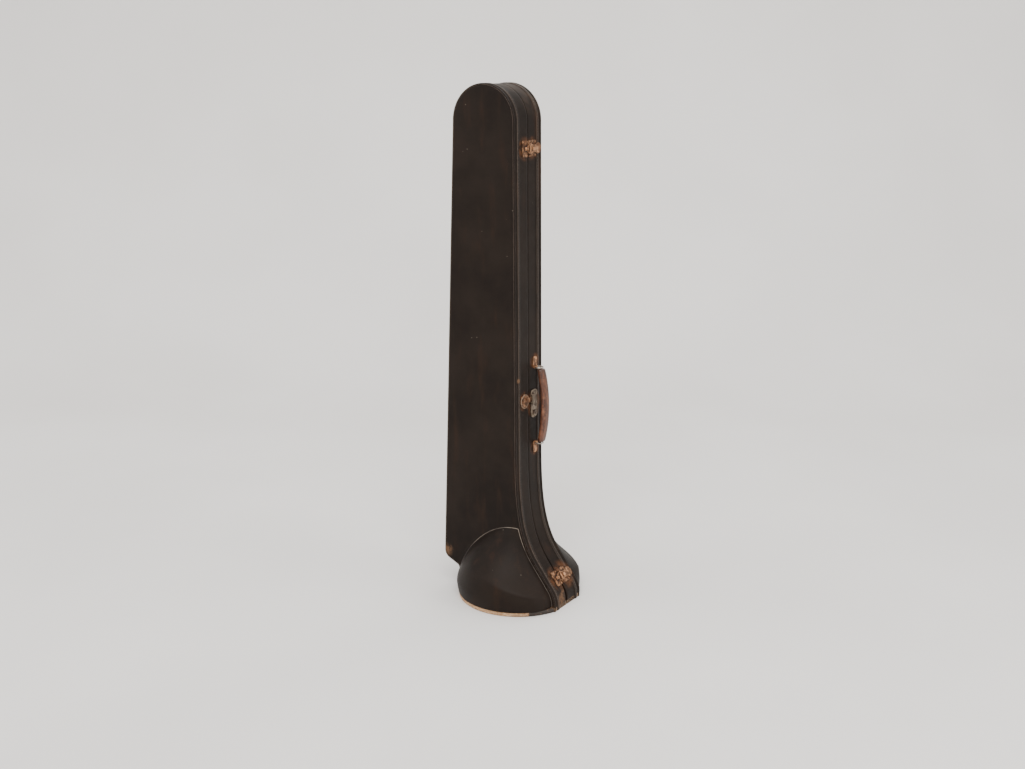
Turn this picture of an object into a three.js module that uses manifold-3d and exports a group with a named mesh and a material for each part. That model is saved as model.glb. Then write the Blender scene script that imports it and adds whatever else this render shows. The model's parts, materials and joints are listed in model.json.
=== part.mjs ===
// Hard-shell trombone case, standing on its bell end.
// Millimetres, +Z up. X runs across the case towards the handle side, Y through its thickness.
// The base shell is on the +Y side, the lid on the -Y side, and the two meet at Y = 0.
// Everything is drawn about the axis of the bell, then moved so that the origin is under the
// middle of the whole case.
import * as THREE from 'three';
import { mergeVertices } from 'three/addons/utils/BufferGeometryUtils.js';
import Module from 'manifold-3d';

const wasm = await Module();
wasm.setup();

// ---------------------------------------------------------------- driving dimensions

const clearance = 0.3;

const caseHeight = 960;
const caseThickness = 90.4;
const topRadius = 65.5;
const topCentreX = -48;
const footHalfWidth = 110.1;

const heelX = -144.4;
const heelZ = 60;
const heelRadius = 12;
const notchDrop = 16;
const notchRadius = 5;

const flareStartX = 22;
const flareStartZ = 330;
const flareLean = THREE.MathUtils.degToRad(37.3);
const flareSeatLength = 53;
const flareSeatEndZ = 42;
const flareSeatInset = 11.7;
const flareUpperPull = 125;
const flareLowerPull = 68;

const wallThickness = 6;
const panelThickness = 4;
const boardThickness = 8;
const bindingThickness = 1;
const bindingWidth = 16;
const seamHalfGap = 0.3;
const sprungGap = 2.8;
const sprungHeight = 94;

const bellCentreX = 1.5;
const bellCentreY = 5;
const bellEndRadius = 111;
const domeWaistX = 0;
const domeWaistZ = 30.5;
const domeSwell = 6.2;
const domeRadius = bellEndRadius + domeSwell;
const domeTuck = 4.2;
const domeHeight = 156.6;
const domePower = 1.744;
const domeLean = 0.185;
const domeLedge = 7;
const domeRoll = 12.3;
const domeRollGrowth = 2.64;
const domeRollStartZ = 38.9;
const domeShell = 4;
const rimThickness = 3;
const rimHeight = 8;

const liningThickness = 2.5;
const domeLiningGap = 1.2;
const liningMouth = 5;
const openingMargin = 1;
const openingSill = 6;

const hingeHeights = [160, 500, 840];
const hingeLength = 42;
const hingeLeafWidth = 14;
const leafThickness = 1.2;
const knuckleRadius = 2.6;
const hingePinRadius = 1.2;
const knuckleTab = 3.4;

const topLatchZ = 847;
const bottomLatchRise = 12;
const latchHalfHeight = 14.5;
const latchPlateThickness = 1.5;
const keeperReach = 19;
const keeperKnobY = -7.5;
const keeperKnobRadius = 3.2;
const keeperKnobHeight = 3.9;
const latchPlateReach = 26;
const latchPinY = 3.8;
const latchPinRadius = 1.1;
const latchBarrelRadius = 1.9;
const latchBarrelHalf = 8.9;
const latchEarThickness = 2;
const tongueThickness = 1.5;
const tongueNeck = 13;
const tongueRadius = 9.5;
const tongueReach = 38;
const linkY = 9;
const linkWire = 1;
const linkLength = 10;
const linkHalfWidth = 7.6;
const lugHalf = 2.6;
const lugRadius = 3;

const lockZ = 378;
const lockPlateHalfHeight = 27;
const lockPlateWidth = 21;
const lockPlateY = 7;
const lockCaseHeight = 3.6;
const lockCaseHalf = 10;
const lockCaseDepth = 9;
const catchRadius = 14;
const catchZ = 388;
const catchY = -14.6;
const catchTongue = 12;
const catchTongueThickness = 1.4;
const catchTongueHalf = 4.5;
const catchRib = 3;
const buttonDrop = 19;
const buttonLength = 9;
const buttonWidth = 7;
const buttonRise = 2.6;
const buttonStem = 3.2;
const buttonTravel = 5;

const handleZ = 374.5;
const handleY = 21;
const gripHalfLength = 69.5;
const gripStandoff = 15;
const gripBow = 8.5;
const gripHalfThickness = 5.5;
const gripHalfWidth = 10.5;
const gripEndTaper = 0.86;
const handleEarZ = 73;
const handleEarHalf = 2.5;
const handleEarRadius = 3.2;
const handleRingRadius = 7.3;
const handleRingWire = 1.1;
const handlePlateLength = 22;
const handlePlateWidth = 13;
const handlePlateThickness = 1.5;

const collarBlockZ = 222;
const collarBlockDepth = 26;
const collarNotchRadius = 15;
const collarX = -52;
const bowBlockZ = 575;
const bowBlockDepth = 24;
const bowNotchRadius = 9.5;
const bowSpacing = 66;
const blockTop = 6;
const boxLow = 640;
const boxHigh = 790;
const boxWall = 3;
const boxRim = 8;

const restHeights = { lower: 262, upper: 800 };
const restDepth = 24;
const restTop = 9;
const restNotchRadius = 8.5;
const restSpacing = 74;
const turnButtonLength = 72;
const turnButtonWidth = 11;
const turnButtonThickness = 3;
const screwRadius = 1.5;
const screwHeadRadius = 3.4;
const screwHeadHeight = 1.4;
const screwBite = 9;

// ---------------------------------------------------------------- values that follow from them

const halfThickness = caseThickness / 2;
const topCentreZ = caseHeight - topRadius;
const frameInset = bindingThickness + clearance;
const panelInside = halfThickness - panelThickness;
const standZ = boardThickness + clearance;
const padFace = panelInside - clearance - liningThickness;
const liningInset = frameInset + wallThickness + clearance;
const interiorInset = liningInset + liningThickness;
const interiorMid = topCentreX;
const footStraight = standZ + clearance + liningThickness + 1;
const domeFootY = halfThickness + clearance;
const latchPinX = 2 * clearance + latchPlateThickness + latchBarrelRadius;
const linkX = latchPinX + latchBarrelRadius + clearance + linkWire;

const flareDown = new THREE.Vector2(Math.sin(flareLean), -Math.cos(flareLean));
const seatEnd = new THREE.Vector2(footHalfWidth - flareSeatInset, flareSeatEndZ);
const seatStart = seatEnd.clone().addScaledVector(flareDown, -flareSeatLength);

// ---------------------------------------------------------------- materials

function material(color, roughness, metalness) {
  return new THREE.MeshStandardMaterial({ color, roughness, metalness });
}

const leatherette = material(0x2b2320, 0.6, 0);
const binding = material(0x2f2724, 0.5, 0);
const wornRim = material(0x8a6238, 0.55, 0);
const plywood = material(0x8f6b45, 0.7, 0);
const plush = material(0x4a1f2c, 0.95, 0);
const tarnishedBrass = material(0x9a6f48, 0.45, 0.9);
const handleLeather = material(0x6b3520, 0.5, 0);
const steel = material(0xa9a39a, 0.4, 0.9);

// ---------------------------------------------------------------- solid helpers

function solidOf(geometry) {
  const bare = geometry.clone();
  bare.deleteAttribute('normal');
  bare.deleteAttribute('uv');
  const merged = mergeVertices(bare, 1e-4);
  return new wasm.Manifold(new wasm.Mesh({
    numProp: 3,
    vertProperties: new Float32Array(merged.attributes.position.array),
    triVerts: new Uint32Array(merged.index.array),
  }));
}

function geometryOf(solid) {
  const mesh = solid.getMesh();
  const geometry = new THREE.BufferGeometry();
  geometry.setAttribute('position', new THREE.BufferAttribute(mesh.vertProperties, 3));
  geometry.setIndex(new THREE.BufferAttribute(mesh.triVerts, 1));
  geometry.computeVertexNormals();
  return geometry;
}

function joined(...geometries) {
  return geometryOf(geometries.map(solidOf).reduce((whole, next) => whole.add(next)));
}

function cut(geometry, ...tools) {
  return geometryOf(tools.map(solidOf).reduce((left, tool) => left.subtract(tool), solidOf(geometry)));
}

// The same piece on the other side of the seam, with its faces still pointing out.
function mirrored(geometry) {
  const copy = mergeVertices(bareCopy(geometry), 1e-4);
  copy.scale(1, -1, 1);
  const index = copy.index.array;
  for (let i = 0; i < index.length; i += 3) {
    [index[i], index[i + 1]] = [index[i + 1], index[i]];
  }
  copy.computeVertexNormals();
  return copy;
}

function bareCopy(geometry) {
  const copy = geometry.clone();
  copy.deleteAttribute('normal');
  copy.deleteAttribute('uv');
  return copy;
}

// A flat outline in X and Z, pushed through the thickness from lowY to highY.
function acrossCase(points, lowY, highY, holes = []) {
  const shape = new THREE.Shape(points);
  shape.holes = holes.map((hole) => new THREE.Path(hole));
  const geometry = new THREE.ExtrudeGeometry(shape, { depth: highY - lowY, bevelEnabled: false });
  geometry.rotateX(Math.PI / 2);
  geometry.translate(0, highY, 0);
  return geometry;
}

// A flat outline in Y and Z, pushed outwards from a wall between two distances from it.
function offWall(shape, lowX, highX, steps = 6) {
  const settings = { depth: highX - lowX, bevelEnabled: false, curveSegments: steps };
  const geometry = new THREE.ExtrudeGeometry(shape, settings);
  geometry.rotateX(Math.PI / 2);
  geometry.rotateZ(Math.PI / 2);
  geometry.translate(lowX, 0, 0);
  return geometry;
}

function block(lowX, highX, lowY, highY, lowZ, highZ) {
  const geometry = new THREE.BoxGeometry(highX - lowX, highY - lowY, highZ - lowZ);
  geometry.translate((lowX + highX) / 2, (lowY + highY) / 2, (lowZ + highZ) / 2);
  return geometry;
}

function rodAlongZ(radius, lowZ, highZ, x, y, sides = 12) {
  const geometry = new THREE.CylinderGeometry(radius, radius, highZ - lowZ, sides);
  geometry.rotateX(Math.PI / 2);
  geometry.translate(x, y, (lowZ + highZ) / 2);
  return geometry;
}

function rodAlongY(radius, lowY, highY, x, z, sides = 16) {
  const geometry = new THREE.CylinderGeometry(radius, radius, highY - lowY, sides);
  geometry.translate(x, (lowY + highY) / 2, z);
  return geometry;
}

function roundedRectangle(lowX, highX, lowY, highY, radius) {
  const shape = new THREE.Shape();
  shape.moveTo(lowX + radius, lowY);
  shape.lineTo(highX - radius, lowY);
  shape.absarc(highX - radius, lowY + radius, radius, -Math.PI / 2, 0);
  shape.lineTo(highX, highY - radius);
  shape.absarc(highX - radius, highY - radius, radius, 0, Math.PI / 2);
  shape.lineTo(lowX + radius, highY);
  shape.absarc(lowX + radius, highY - radius, radius, Math.PI / 2, Math.PI);
  shape.lineTo(lowX, lowY + radius);
  shape.absarc(lowX + radius, lowY + radius, radius, Math.PI, Math.PI * 1.5);
  return shape;
}

// A closed skin over level loops that all run anticlockwise seen from above, closed flat at the
// lowest loop, and at the top either flat or drawn in to one point.
function loft(loops, apex = null) {
  const sides = loops[0].length;
  const positions = loops.flat().flatMap((point) => [point.x, point.y, point.z]);
  const index = [];
  for (let row = 0; row + 1 < loops.length; row += 1) {
    for (let i = 0; i < sides; i += 1) {
      const a = row * sides + i;
      const b = row * sides + ((i + 1) % sides);
      index.push(a, b, b + sides, a, b + sides, a + sides);
    }
  }
  for (let i = 1; i + 1 < sides; i += 1) {
    index.push(0, i + 1, i);
  }
  const last = (loops.length - 1) * sides;
  if (apex) {
    positions.push(apex.x, apex.y, apex.z);
    for (let i = 0; i < sides; i += 1) {
      index.push(last + i, last + ((i + 1) % sides), loops.length * sides);
    }
  } else {
    for (let i = 1; i + 1 < sides; i += 1) {
      index.push(last, last + i, last + i + 1);
    }
  }
  const geometry = new THREE.BufferGeometry();
  geometry.setAttribute('position', new THREE.Float32BufferAttribute(positions, 3));
  geometry.setIndex(index);
  geometry.computeVertexNormals();
  return geometry;
}

// ---------------------------------------------------------------- the outline of the case

// The line round the case seen from the front, from the right foot over the top to the left foot.
function outerPath(footZ) {
  const path = new THREE.Path();
  const turnZ = seatEnd.y - (footHalfWidth - seatEnd.x) / Math.tan(flareLean);
  const upperPull = new THREE.Vector2(flareStartX, flareStartZ - flareUpperPull);
  const lowerPull = seatStart.clone().addScaledVector(flareDown, -flareLowerPull);
  const underHeel = new THREE.Vector2(-footHalfWidth - heelX, -notchDrop).normalize();
  const heel = new THREE.Vector2(heelX, heelZ);
  const notch = new THREE.Vector2(-footHalfWidth, heelZ - notchDrop);
  path.moveTo(footHalfWidth, footZ);
  path.lineTo(footHalfWidth, footStraight);
  path.quadraticCurveTo(footHalfWidth, turnZ, seatEnd.x, seatEnd.y);
  path.lineTo(seatStart.x, seatStart.y);
  path.bezierCurveTo(lowerPull.x, lowerPull.y, upperPull.x, upperPull.y, flareStartX, flareStartZ);
  path.lineTo(topCentreX + topRadius, topCentreZ);
  path.absarc(topCentreX, topCentreZ, topRadius, 0, Math.PI);
  const upWall = new THREE.Vector2(topCentreX - topRadius, topCentreZ).sub(heel).normalize();
  const beforeHeel = heel.clone().addScaledVector(upWall, heelRadius);
  path.lineTo(beforeHeel.x, beforeHeel.y);
  const afterHeel = heel.clone().addScaledVector(underHeel, heelRadius);
  path.quadraticCurveTo(heel.x, heel.y, afterHeel.x, afterHeel.y);
  const beforeNotch = notch.clone().addScaledVector(underHeel, -notchRadius);
  path.lineTo(beforeNotch.x, beforeNotch.y);
  path.quadraticCurveTo(notch.x, notch.y, notch.x, notch.y - notchRadius);
  path.lineTo(-footHalfWidth, footZ);
  return path;
}

// The outline moved inwards by one distance, with mitred corners. A stretch that an inside turn
// is too tight for is left out.
function caseLine(inset, footZ) {
  const points = outerPath(footZ).getPoints(8).filter((point, i, all) => {
    return i === 0 || point.distanceTo(all[i - 1]) > 0.05;
  });
  const leftOf = (a, b) => new THREE.Vector2(a.y - b.y, b.x - a.x).normalize();
  const moved = points.map((point, i) => {
    const before = leftOf(points[Math.max(i - 1, 0)], points[Math.max(i, 1)]);
    const afterEnd = Math.min(i + 1, points.length - 1);
    const after = leftOf(points[afterEnd - 1], points[afterEnd]);
    const mitre = before.clone().add(after).normalize();
    return point.clone().addScaledVector(mitre, inset / mitre.dot(before));
  });
  return moved.filter((point, i) => {
    const back = Math.max(i - 1, 0);
    const run = points[i].clone().sub(points[back]);
    return i === 0 || point.clone().sub(moved[back]).dot(run) > 0;
  });
}

function lineXAt(line, z) {
  const upper = line.findIndex((point) => point.y >= z);
  const high = line[Math.max(upper, 1)];
  const low = line[Math.max(upper, 1) - 1];
  return low.x + ((high.x - low.x) * (z - low.y)) / (high.y - low.y);
}

function leftWallX(inset, z) {
  const share = (topCentreZ - z) / (topCentreZ - heelZ);
  return topCentreX - topRadius + share * (heelX - topCentreX + topRadius) + inset;
}

function rightWallX(inset, z) {
  return lineXAt(caseLine(inset, 0), z);
}

// A strip that follows the outline, between two insets and two distances from the seam.
function outlineBand(outerInset, innerInset, footZ, lowY, highY) {
  const outer = caseLine(outerInset, footZ);
  const inner = caseLine(innerInset, footZ).reverse();
  return acrossCase([...outer, ...inner], lowY, highY);
}

// ---------------------------------------------------------------- the bell domes

// The circle round the bell at one height: widest at the waist, tucked in below it and closing
// to a point above.
function bellCircle(z, inset) {
  const above = Math.max(z - domeWaistZ, 0) / (domeHeight - inset - domeWaistZ);
  const below = Math.max(domeWaistZ - z, 0) / domeWaistZ;
  const closing = Math.sqrt(Math.max(1 - Math.min(above, 1) ** domePower, 0));
  const radius = (domeRadius - inset) * closing - domeTuck * below ** 2;
  const aside = (bellCentreX - domeWaistX) * below;
  return { radius, centre: domeWaistX + aside + domeLean * Math.max(z - domeWaistZ, 0) };
}

// The height at which the dome's two edges meet.
function domeTopZ(inset) {
  let low = standZ;
  let high = domeHeight - inset;
  for (let i = 0; i < 24; i += 1) {
    const middle = (low + high) / 2;
    const { left, right } = domeEdges(middle, inset);
    if (right - left > 0) {
      low = middle;
    } else {
      high = middle;
    }
  }
  return low;
}

function domeEdges(z, inset) {
  const { radius, centre } = bellCircle(z, inset);
  const half = Math.sqrt(Math.max(radius ** 2 - (halfThickness - bellCentreY) ** 2, 0));
  const ledge = rightWallX(frameInset, z) - domeLedge - inset;
  return { left: centre - half, right: Math.min(centre + half, ledge) };
}

function domeLoop(z, inset, drop) {
  const steps = 12;
  const { radius, centre } = bellCircle(z, inset);
  const { left, right } = domeEdges(z, inset);
  const loop = [];
  for (let i = 0; i <= steps; i += 1) {
    const x = (left + right) / 2 + ((right - left) / 2) * Math.cos((Math.PI * i) / steps);
    const out = bellCentreY + Math.sqrt(Math.max(radius ** 2 - (x - centre) ** 2, 0));
    const bulge = Math.max(out - halfThickness, 0);
    const share = THREE.MathUtils.clamp((right - x) / (domeRoll + domeRollGrowth * Math.max(z - domeRollStartZ, 0)), 0, 1);
    const roll = Math.sqrt(1 - (1 - share) ** 2);
    loop.push(new THREE.Vector3(x, domeFootY + bulge * roll, z));
  }
  if (drop > 0) {
    loop.push(new THREE.Vector3(left, domeFootY - drop, z));
    loop.push(new THREE.Vector3(right, domeFootY - drop, z));
  }
  return loop;
}

function domeSolid(inset, lowZ, drop) {
  const rows = 9;
  const topZ = domeTopZ(inset);
  const loops = [];
  for (let i = 0; i < rows; i += 1) {
    const z = lowZ + (topZ - lowZ) * Math.sin((Math.PI / 2) * (i / rows));
    loops.push(domeLoop(z, inset, drop));
  }
  return loft(loops, new THREE.Vector3(domeEdges(topZ, inset).left, domeFootY - drop, topZ));
}

function domeSkin(outerInset, innerInset) {
  const reach = 2;
  return cut(domeSolid(outerInset, standZ, 0), domeSolid(innerInset, standZ - reach, reach));
}

// The way through a face of the case into its dome.
function bellOpening() {
  const inset = domeShell + domeLiningGap + liningThickness + openingMargin;
  const lowZ = standZ + openingSill;
  const topZ = domeTopZ(inset) - openingMargin;
  const rows = 7;
  const lefts = [];
  const rights = [];
  for (let i = 0; i <= rows; i += 1) {
    const z = lowZ + (topZ - lowZ) * Math.sin((Math.PI / 2) * (i / rows));
    const edges = domeEdges(z, inset);
    lefts.push(new THREE.Vector2(edges.left, z));
    rights.push(new THREE.Vector2(edges.right, z));
  }
  return [...rights, ...lefts.reverse()];
}

// ---------------------------------------------------------------- shells

function sideFrame() {
  return outlineBand(frameInset, frameInset + wallThickness, standZ, seamHalfGap,
    panelInside - clearance);
}

function facePanel() {
  return acrossCase(caseLine(frameInset, standZ), panelInside, halfThickness, [bellOpening()]);
}

function edgeBinding() {
  return outlineBand(0, bindingThickness, clearance, halfThickness - bindingWidth, halfThickness);
}

function bellEndBoard() {
  const side = footHalfWidth - frameInset;
  const corner = Math.asin((halfThickness - bellCentreY) / bellEndRadius);
  const shape = new THREE.Shape();
  shape.moveTo(-side, halfThickness);
  shape.lineTo(-side, seamHalfGap);
  shape.lineTo(side, seamHalfGap);
  shape.lineTo(side, halfThickness);
  shape.absarc(bellCentreX, bellCentreY, bellEndRadius, corner, Math.PI - corner);
  return new THREE.ExtrudeGeometry(shape, {
    depth: boardThickness, bevelEnabled: false, curveSegments: 14,
  });
}

function bellRim() {
  const inner = bellEndRadius + clearance;
  const corner = Math.asin((halfThickness + clearance - bellCentreY) / inner);
  const shape = new THREE.Shape();
  shape.absarc(bellCentreX, bellCentreY, inner + rimThickness, corner, Math.PI - corner);
  shape.absarc(bellCentreX, bellCentreY, inner, Math.PI - corner, corner, true);
  return new THREE.ExtrudeGeometry(shape, {
    depth: rimHeight, bevelEnabled: false, curveSegments: 14,
  });
}

function bodyLining() {
  const outer = acrossCase(caseLine(liningInset, standZ + clearance), liningMouth,
    panelInside - clearance);
  const hollow = acrossCase(caseLine(interiorInset, standZ + clearance + liningThickness),
    liningMouth - 1, padFace);
  const way = acrossCase(bellOpening(), padFace - 1, halfThickness);
  return cut(outer, hollow, way);
}

function domeLining() {
  const outer = domeShell + domeLiningGap;
  return domeSkin(outer, outer + liningThickness);
}

// The lid's seam edge near the bell end stands off the base: widest at the floor on the latch side.
function sprungOpen(geometry) {
  const position = geometry.attributes.position;
  for (let i = 0; i < position.count; i += 1) {
    const nearSeam = Math.abs(position.getY(i)) < seamHalfGap + 0.01;
    const low = Math.max(1 - position.getZ(i) / sprungHeight, 0);
    const outward = THREE.MathUtils.clamp((position.getX(i) + footHalfWidth) / (2 * footHalfWidth), 0, 1);
    if (nearSeam) {
      position.setY(i, position.getY(i) - sprungGap * low * outward);
    }
  }
  geometry.computeVertexNormals();
  return geometry;
}

// ---------------------------------------------------------------- hinges on the left wall

// One leaf with its knuckles. Local X points out from the wall, Z runs along the hinge.
function hingeLeaf(side, knuckles) {
  const axisX = clearance + knuckleRadius;
  const third = hingeLength / 3;
  const plate = block(clearance, clearance + leafThickness, knuckleTab, hingeLeafWidth,
    -hingeLength / 2, hingeLength / 2);
  const parts = [plate];
  for (const k of knuckles) {
    const low = (k - 1.5) * third + clearance / 2;
    const high = (k - 0.5) * third - clearance / 2;
    parts.push(block(clearance, clearance + leafThickness, 0, knuckleTab + 1, low, high));
    parts.push(rodAlongZ(knuckleRadius, low, high, axisX, 0));
  }
  const bore = rodAlongZ(hingePinRadius + clearance, -hingeLength, hingeLength, axisX, 0);
  const leaf = cut(joined(...parts), bore);
  return side < 0 ? mirrored(leaf) : leaf;
}

function hingePin() {
  const reach = hingeLength / 2 + 1;
  return rodAlongZ(hingePinRadius, -reach, reach, clearance + knuckleRadius, 0);
}

// ---------------------------------------------------------------- draw latches

function latchKeeper() {
  const face = clearance + latchPlateThickness;
  const outline = roundedRectangle(-keeperReach, -seamHalfGap - 1, -latchHalfHeight,
    latchHalfHeight, 3);
  const plate = offWall(outline, clearance, face, 3);
  const profile = [
    new THREE.Vector2(0, 0),
    new THREE.Vector2(keeperKnobRadius * 0.75, 0),
    new THREE.Vector2(keeperKnobRadius * 0.75, keeperKnobHeight * 0.55),
    new THREE.Vector2(keeperKnobRadius, keeperKnobHeight * 0.75),
    new THREE.Vector2(keeperKnobRadius * 0.8, keeperKnobHeight),
    new THREE.Vector2(0, keeperKnobHeight),
  ];
  const knob = new THREE.LatheGeometry(profile, 12);
  knob.rotateZ(-Math.PI / 2);
  knob.translate(face - 0.1, keeperKnobY, 0);
  return joined(plate, knob);
}

function latchPlate() {
  const face = clearance + latchPlateThickness;
  const outline = roundedRectangle(seamHalfGap + 1, latchPlateReach, -latchHalfHeight,
    latchHalfHeight, 3);
  const parts = [offWall(outline, clearance, face, 3)];
  const earLow = latchBarrelHalf + clearance;
  for (const low of [earLow, -earLow - latchEarThickness]) {
    parts.push(block(face - 0.2, latchPinX + latchBarrelRadius, latchPinY - latchBarrelRadius,
      latchPinY + latchBarrelRadius, low, low + latchEarThickness));
  }
  const reach = earLow + latchEarThickness + 1;
  return cut(joined(...parts), rodAlongZ(latchPinRadius + clearance, -reach, reach, latchPinX,
    latchPinY));
}

function latchPin() {
  const reach = latchBarrelHalf + clearance + latchEarThickness;
  return rodAlongZ(latchPinRadius, -reach, reach, latchPinX, latchPinY);
}

function latchLever() {
  const low = latchPinX - tongueThickness / 2;
  const high = latchPinX + tongueThickness / 2;
  const centreY = tongueReach - tongueRadius;
  const tongue = new THREE.Shape();
  tongue.moveTo(latchPinY, -tongueNeck / 2);
  tongue.lineTo(linkY + lugRadius, -tongueNeck / 2);
  tongue.absarc(centreY, 0, tongueRadius, -Math.PI * 0.75, Math.PI * 0.75);
  tongue.lineTo(linkY + lugRadius, tongueNeck / 2);
  tongue.lineTo(latchPinY, tongueNeck / 2);
  const barrel = rodAlongZ(latchBarrelRadius, -latchBarrelHalf, latchBarrelHalf, latchPinX,
    latchPinY);
  const lug = joined(
    rodAlongZ(lugRadius, -lugHalf, lugHalf, linkX, linkY),
    block(high - 0.2, linkX, linkY - lugRadius, linkY + lugRadius, -lugHalf, lugHalf),
  );
  const sag = linkSag(lugHalf);
  const reach = latchBarrelHalf + 1;
  return cut(
    joined(offWall(tongue, low, high, 8), barrel, lug),
    rodAlongZ(latchPinRadius + clearance, -reach, reach, latchPinX, latchPinY),
    rodAlongZ(linkWire + sag + clearance, -reach, reach, linkX, linkY),
  );
}

// How far the link's wire curves away from its own axis inside half the lug's length.
function linkSag(along) {
  return linkLength * (1 - Math.sqrt(1 - (along / linkHalfWidth) ** 2));
}

function latchLink() {
  const ring = new THREE.TorusGeometry(linkLength, linkWire, 8, 20);
  const position = ring.attributes.position;
  for (let i = 0; i < position.count; i += 1) {
    const angle = Math.atan2(position.getY(i), position.getX(i));
    const out = Math.hypot(position.getX(i), position.getY(i)) - linkLength;
    const y = (linkLength + out) * Math.cos(angle);
    const z = (linkHalfWidth + out) * Math.sin(angle);
    position.setXYZ(i, linkX + position.getZ(i), linkY - linkLength + y, z);
  }
  return geometryOf(solidOf(ring));
}

// ---------------------------------------------------------------- centre lock

function lockCatch() {
  const face = clearance + latchPlateThickness;
  const disc = new THREE.Shape();
  const edge = Math.acos((-seamHalfGap - 1 - catchY) / catchRadius);
  disc.absarc(catchY, 0, catchRadius, edge, 2 * Math.PI - edge);
  const plate = offWall(disc, clearance, face, 12);
  const rib = block(face - 0.1, face + catchRib * 0.4, -catchRadius * 0.62, catchRadius * 0.62,
    -catchRib, catchRib);
  rib.rotateX(THREE.MathUtils.degToRad(-38));
  rib.translate(0, catchY, 0);
  const tongueX = face + catchTongueThickness;
  const tongue = block(face - 0.1, tongueX, catchY + catchRadius * 0.3, catchTongue,
    -catchTongueHalf, catchTongueHalf);
  return joined(plate, rib, tongue);
}

function lockPlate() {
  const face = clearance + latchPlateThickness;
  const highY = lockPlateY + lockPlateWidth;
  const outline = roundedRectangle(lockPlateY, highY, -lockPlateHalfHeight, lockPlateHalfHeight, 8);
  const plate = offWall(outline, clearance, face, 5);
  const shift = catchZ - lockZ;
  const top = face + lockCaseHeight;
  const lockCase = block(face - 0.1, top, lockPlateY, lockPlateY + lockCaseDepth,
    shift - lockCaseHalf, shift + lockCaseHalf);
  const slotGap = 2 * clearance;
  const mouth = block(face - clearance, face + catchTongueThickness + slotGap, lockPlateY - 1,
    catchTongue + slotGap, shift - catchTongueHalf - slotGap, shift + catchTongueHalf + slotGap);
  const middleY = lockPlateY + lockPlateWidth / 2;
  const stem = buttonStem / 2 + clearance;
  const slot = block(clearance - 1, face + 1, middleY - stem, middleY + stem,
    -buttonDrop - stem, -buttonDrop + stem + buttonTravel);
  return cut(joined(plate, lockCase), mouth, slot);
}

function lockButton() {
  const face = clearance + latchPlateThickness;
  const middleY = lockPlateY + lockPlateWidth / 2;
  const head = roundedRectangle(middleY - buttonWidth / 2, middleY + buttonWidth / 2,
    -buttonDrop - buttonLength / 2, -buttonDrop + buttonLength / 2, 2);
  const stem = block(2 * clearance, face + 2 * clearance, middleY - buttonStem / 2,
    middleY + buttonStem / 2, -buttonDrop - buttonStem / 2, -buttonDrop + buttonStem / 2);
  return joined(offWall(head, face + clearance, face + clearance + buttonRise, 4), stem);
}

// ---------------------------------------------------------------- handle

function gripCentreX(z) {
  return gripStandoff + gripBow * (1 - (z / gripHalfLength) ** 2);
}

function gripLoop(z) {
  const sides = 12;
  const end = Math.abs(z / gripHalfLength) ** 4;
  const width = gripHalfWidth * (1 - (1 - gripEndTaper) * end);
  const loop = [];
  for (let i = 0; i < sides; i += 1) {
    const angle = (2 * Math.PI * (i + 0.5)) / sides;
    const squareness = 0.75;
    const alongX = Math.sign(Math.cos(angle)) * Math.abs(Math.cos(angle)) ** squareness;
    const alongY = Math.sign(Math.sin(angle)) * Math.abs(Math.sin(angle)) ** squareness;
    loop.push(new THREE.Vector3(gripCentreX(z) + gripHalfThickness * alongX, width * alongY, z));
  }
  return loop;
}

function handleRing(side, wire) {
  const ring = new THREE.TorusGeometry(handleRingRadius, wire, 8, 20);
  ring.rotateX(Math.PI / 2);
  ring.translate(handleEarX() + handleRingRadius, 0, side * handleEarZ);
  return geometryOf(solidOf(ring));
}

function handleEarX() {
  return clearance + handleEarRadius;
}

function handleGrip() {
  const rows = 12;
  const loops = [];
  for (let i = 0; i <= rows; i += 1) {
    loops.push(gripLoop(gripHalfLength * (-1 + (2 * i) / rows)));
  }
  const channel = handleRingWire + clearance;
  return cut(loft(loops), handleRing(1, channel), handleRing(-1, channel));
}

function handlePlate(side) {
  const face = clearance + handlePlateThickness;
  const inner = handleEarZ - handleEarHalf;
  const outline = roundedRectangle(-handlePlateWidth / 2, handlePlateWidth / 2, inner,
    inner + handlePlateLength, 5);
  const parts = [offWall(outline, clearance, face, 4)];
  const low = inner;
  const high = handleEarZ + handleEarHalf;
  parts.push(rodAlongZ(handleEarRadius, low, high, handleEarX(), 0));
  const sag = handleRingRadius - Math.sqrt(handleRingRadius ** 2 - handleEarHalf ** 2);
  const bore = rodAlongZ(handleRingWire + sag + clearance, low - 1, high + 1, handleEarX(), 0);
  const plate = cut(joined(...parts), bore);
  if (side < 0) {
    plate.rotateX(Math.PI);
  }
  return plate;
}

// ---------------------------------------------------------------- inside fittings

// A padded block across the case, from the back pad towards the seam, with round-bottomed notches.
function notchedBlock(middleZ, depth, topY, notches, cutRadius) {
  const low = middleZ - depth / 2;
  const high = middleZ + depth / 2;
  const left = leftWallX(interiorInset, high) + clearance;
  const right = rightWallX(interiorInset, high) - clearance;
  const body = block(left, right, topY, padFace - clearance, low, high);
  const tools = [];
  for (const x of notches) {
    const floor = topY + cutRadius;
    tools.push(rodAlongZ(cutRadius, low - 1, high + 1, x, floor, 20));
    tools.push(block(x - cutRadius, x + cutRadius, topY - 1, floor, low - 1, high + 1));
  }
  return cut(body, ...tools);
}

function collarBlock() {
  return notchedBlock(collarBlockZ, collarBlockDepth, blockTop, [collarX], collarNotchRadius);
}

function bowBlock() {
  const xs = [interiorMid - bowSpacing / 2, interiorMid + bowSpacing / 2];
  return notchedBlock(bowBlockZ, bowBlockDepth, blockTop, xs, bowNotchRadius);
}

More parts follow.
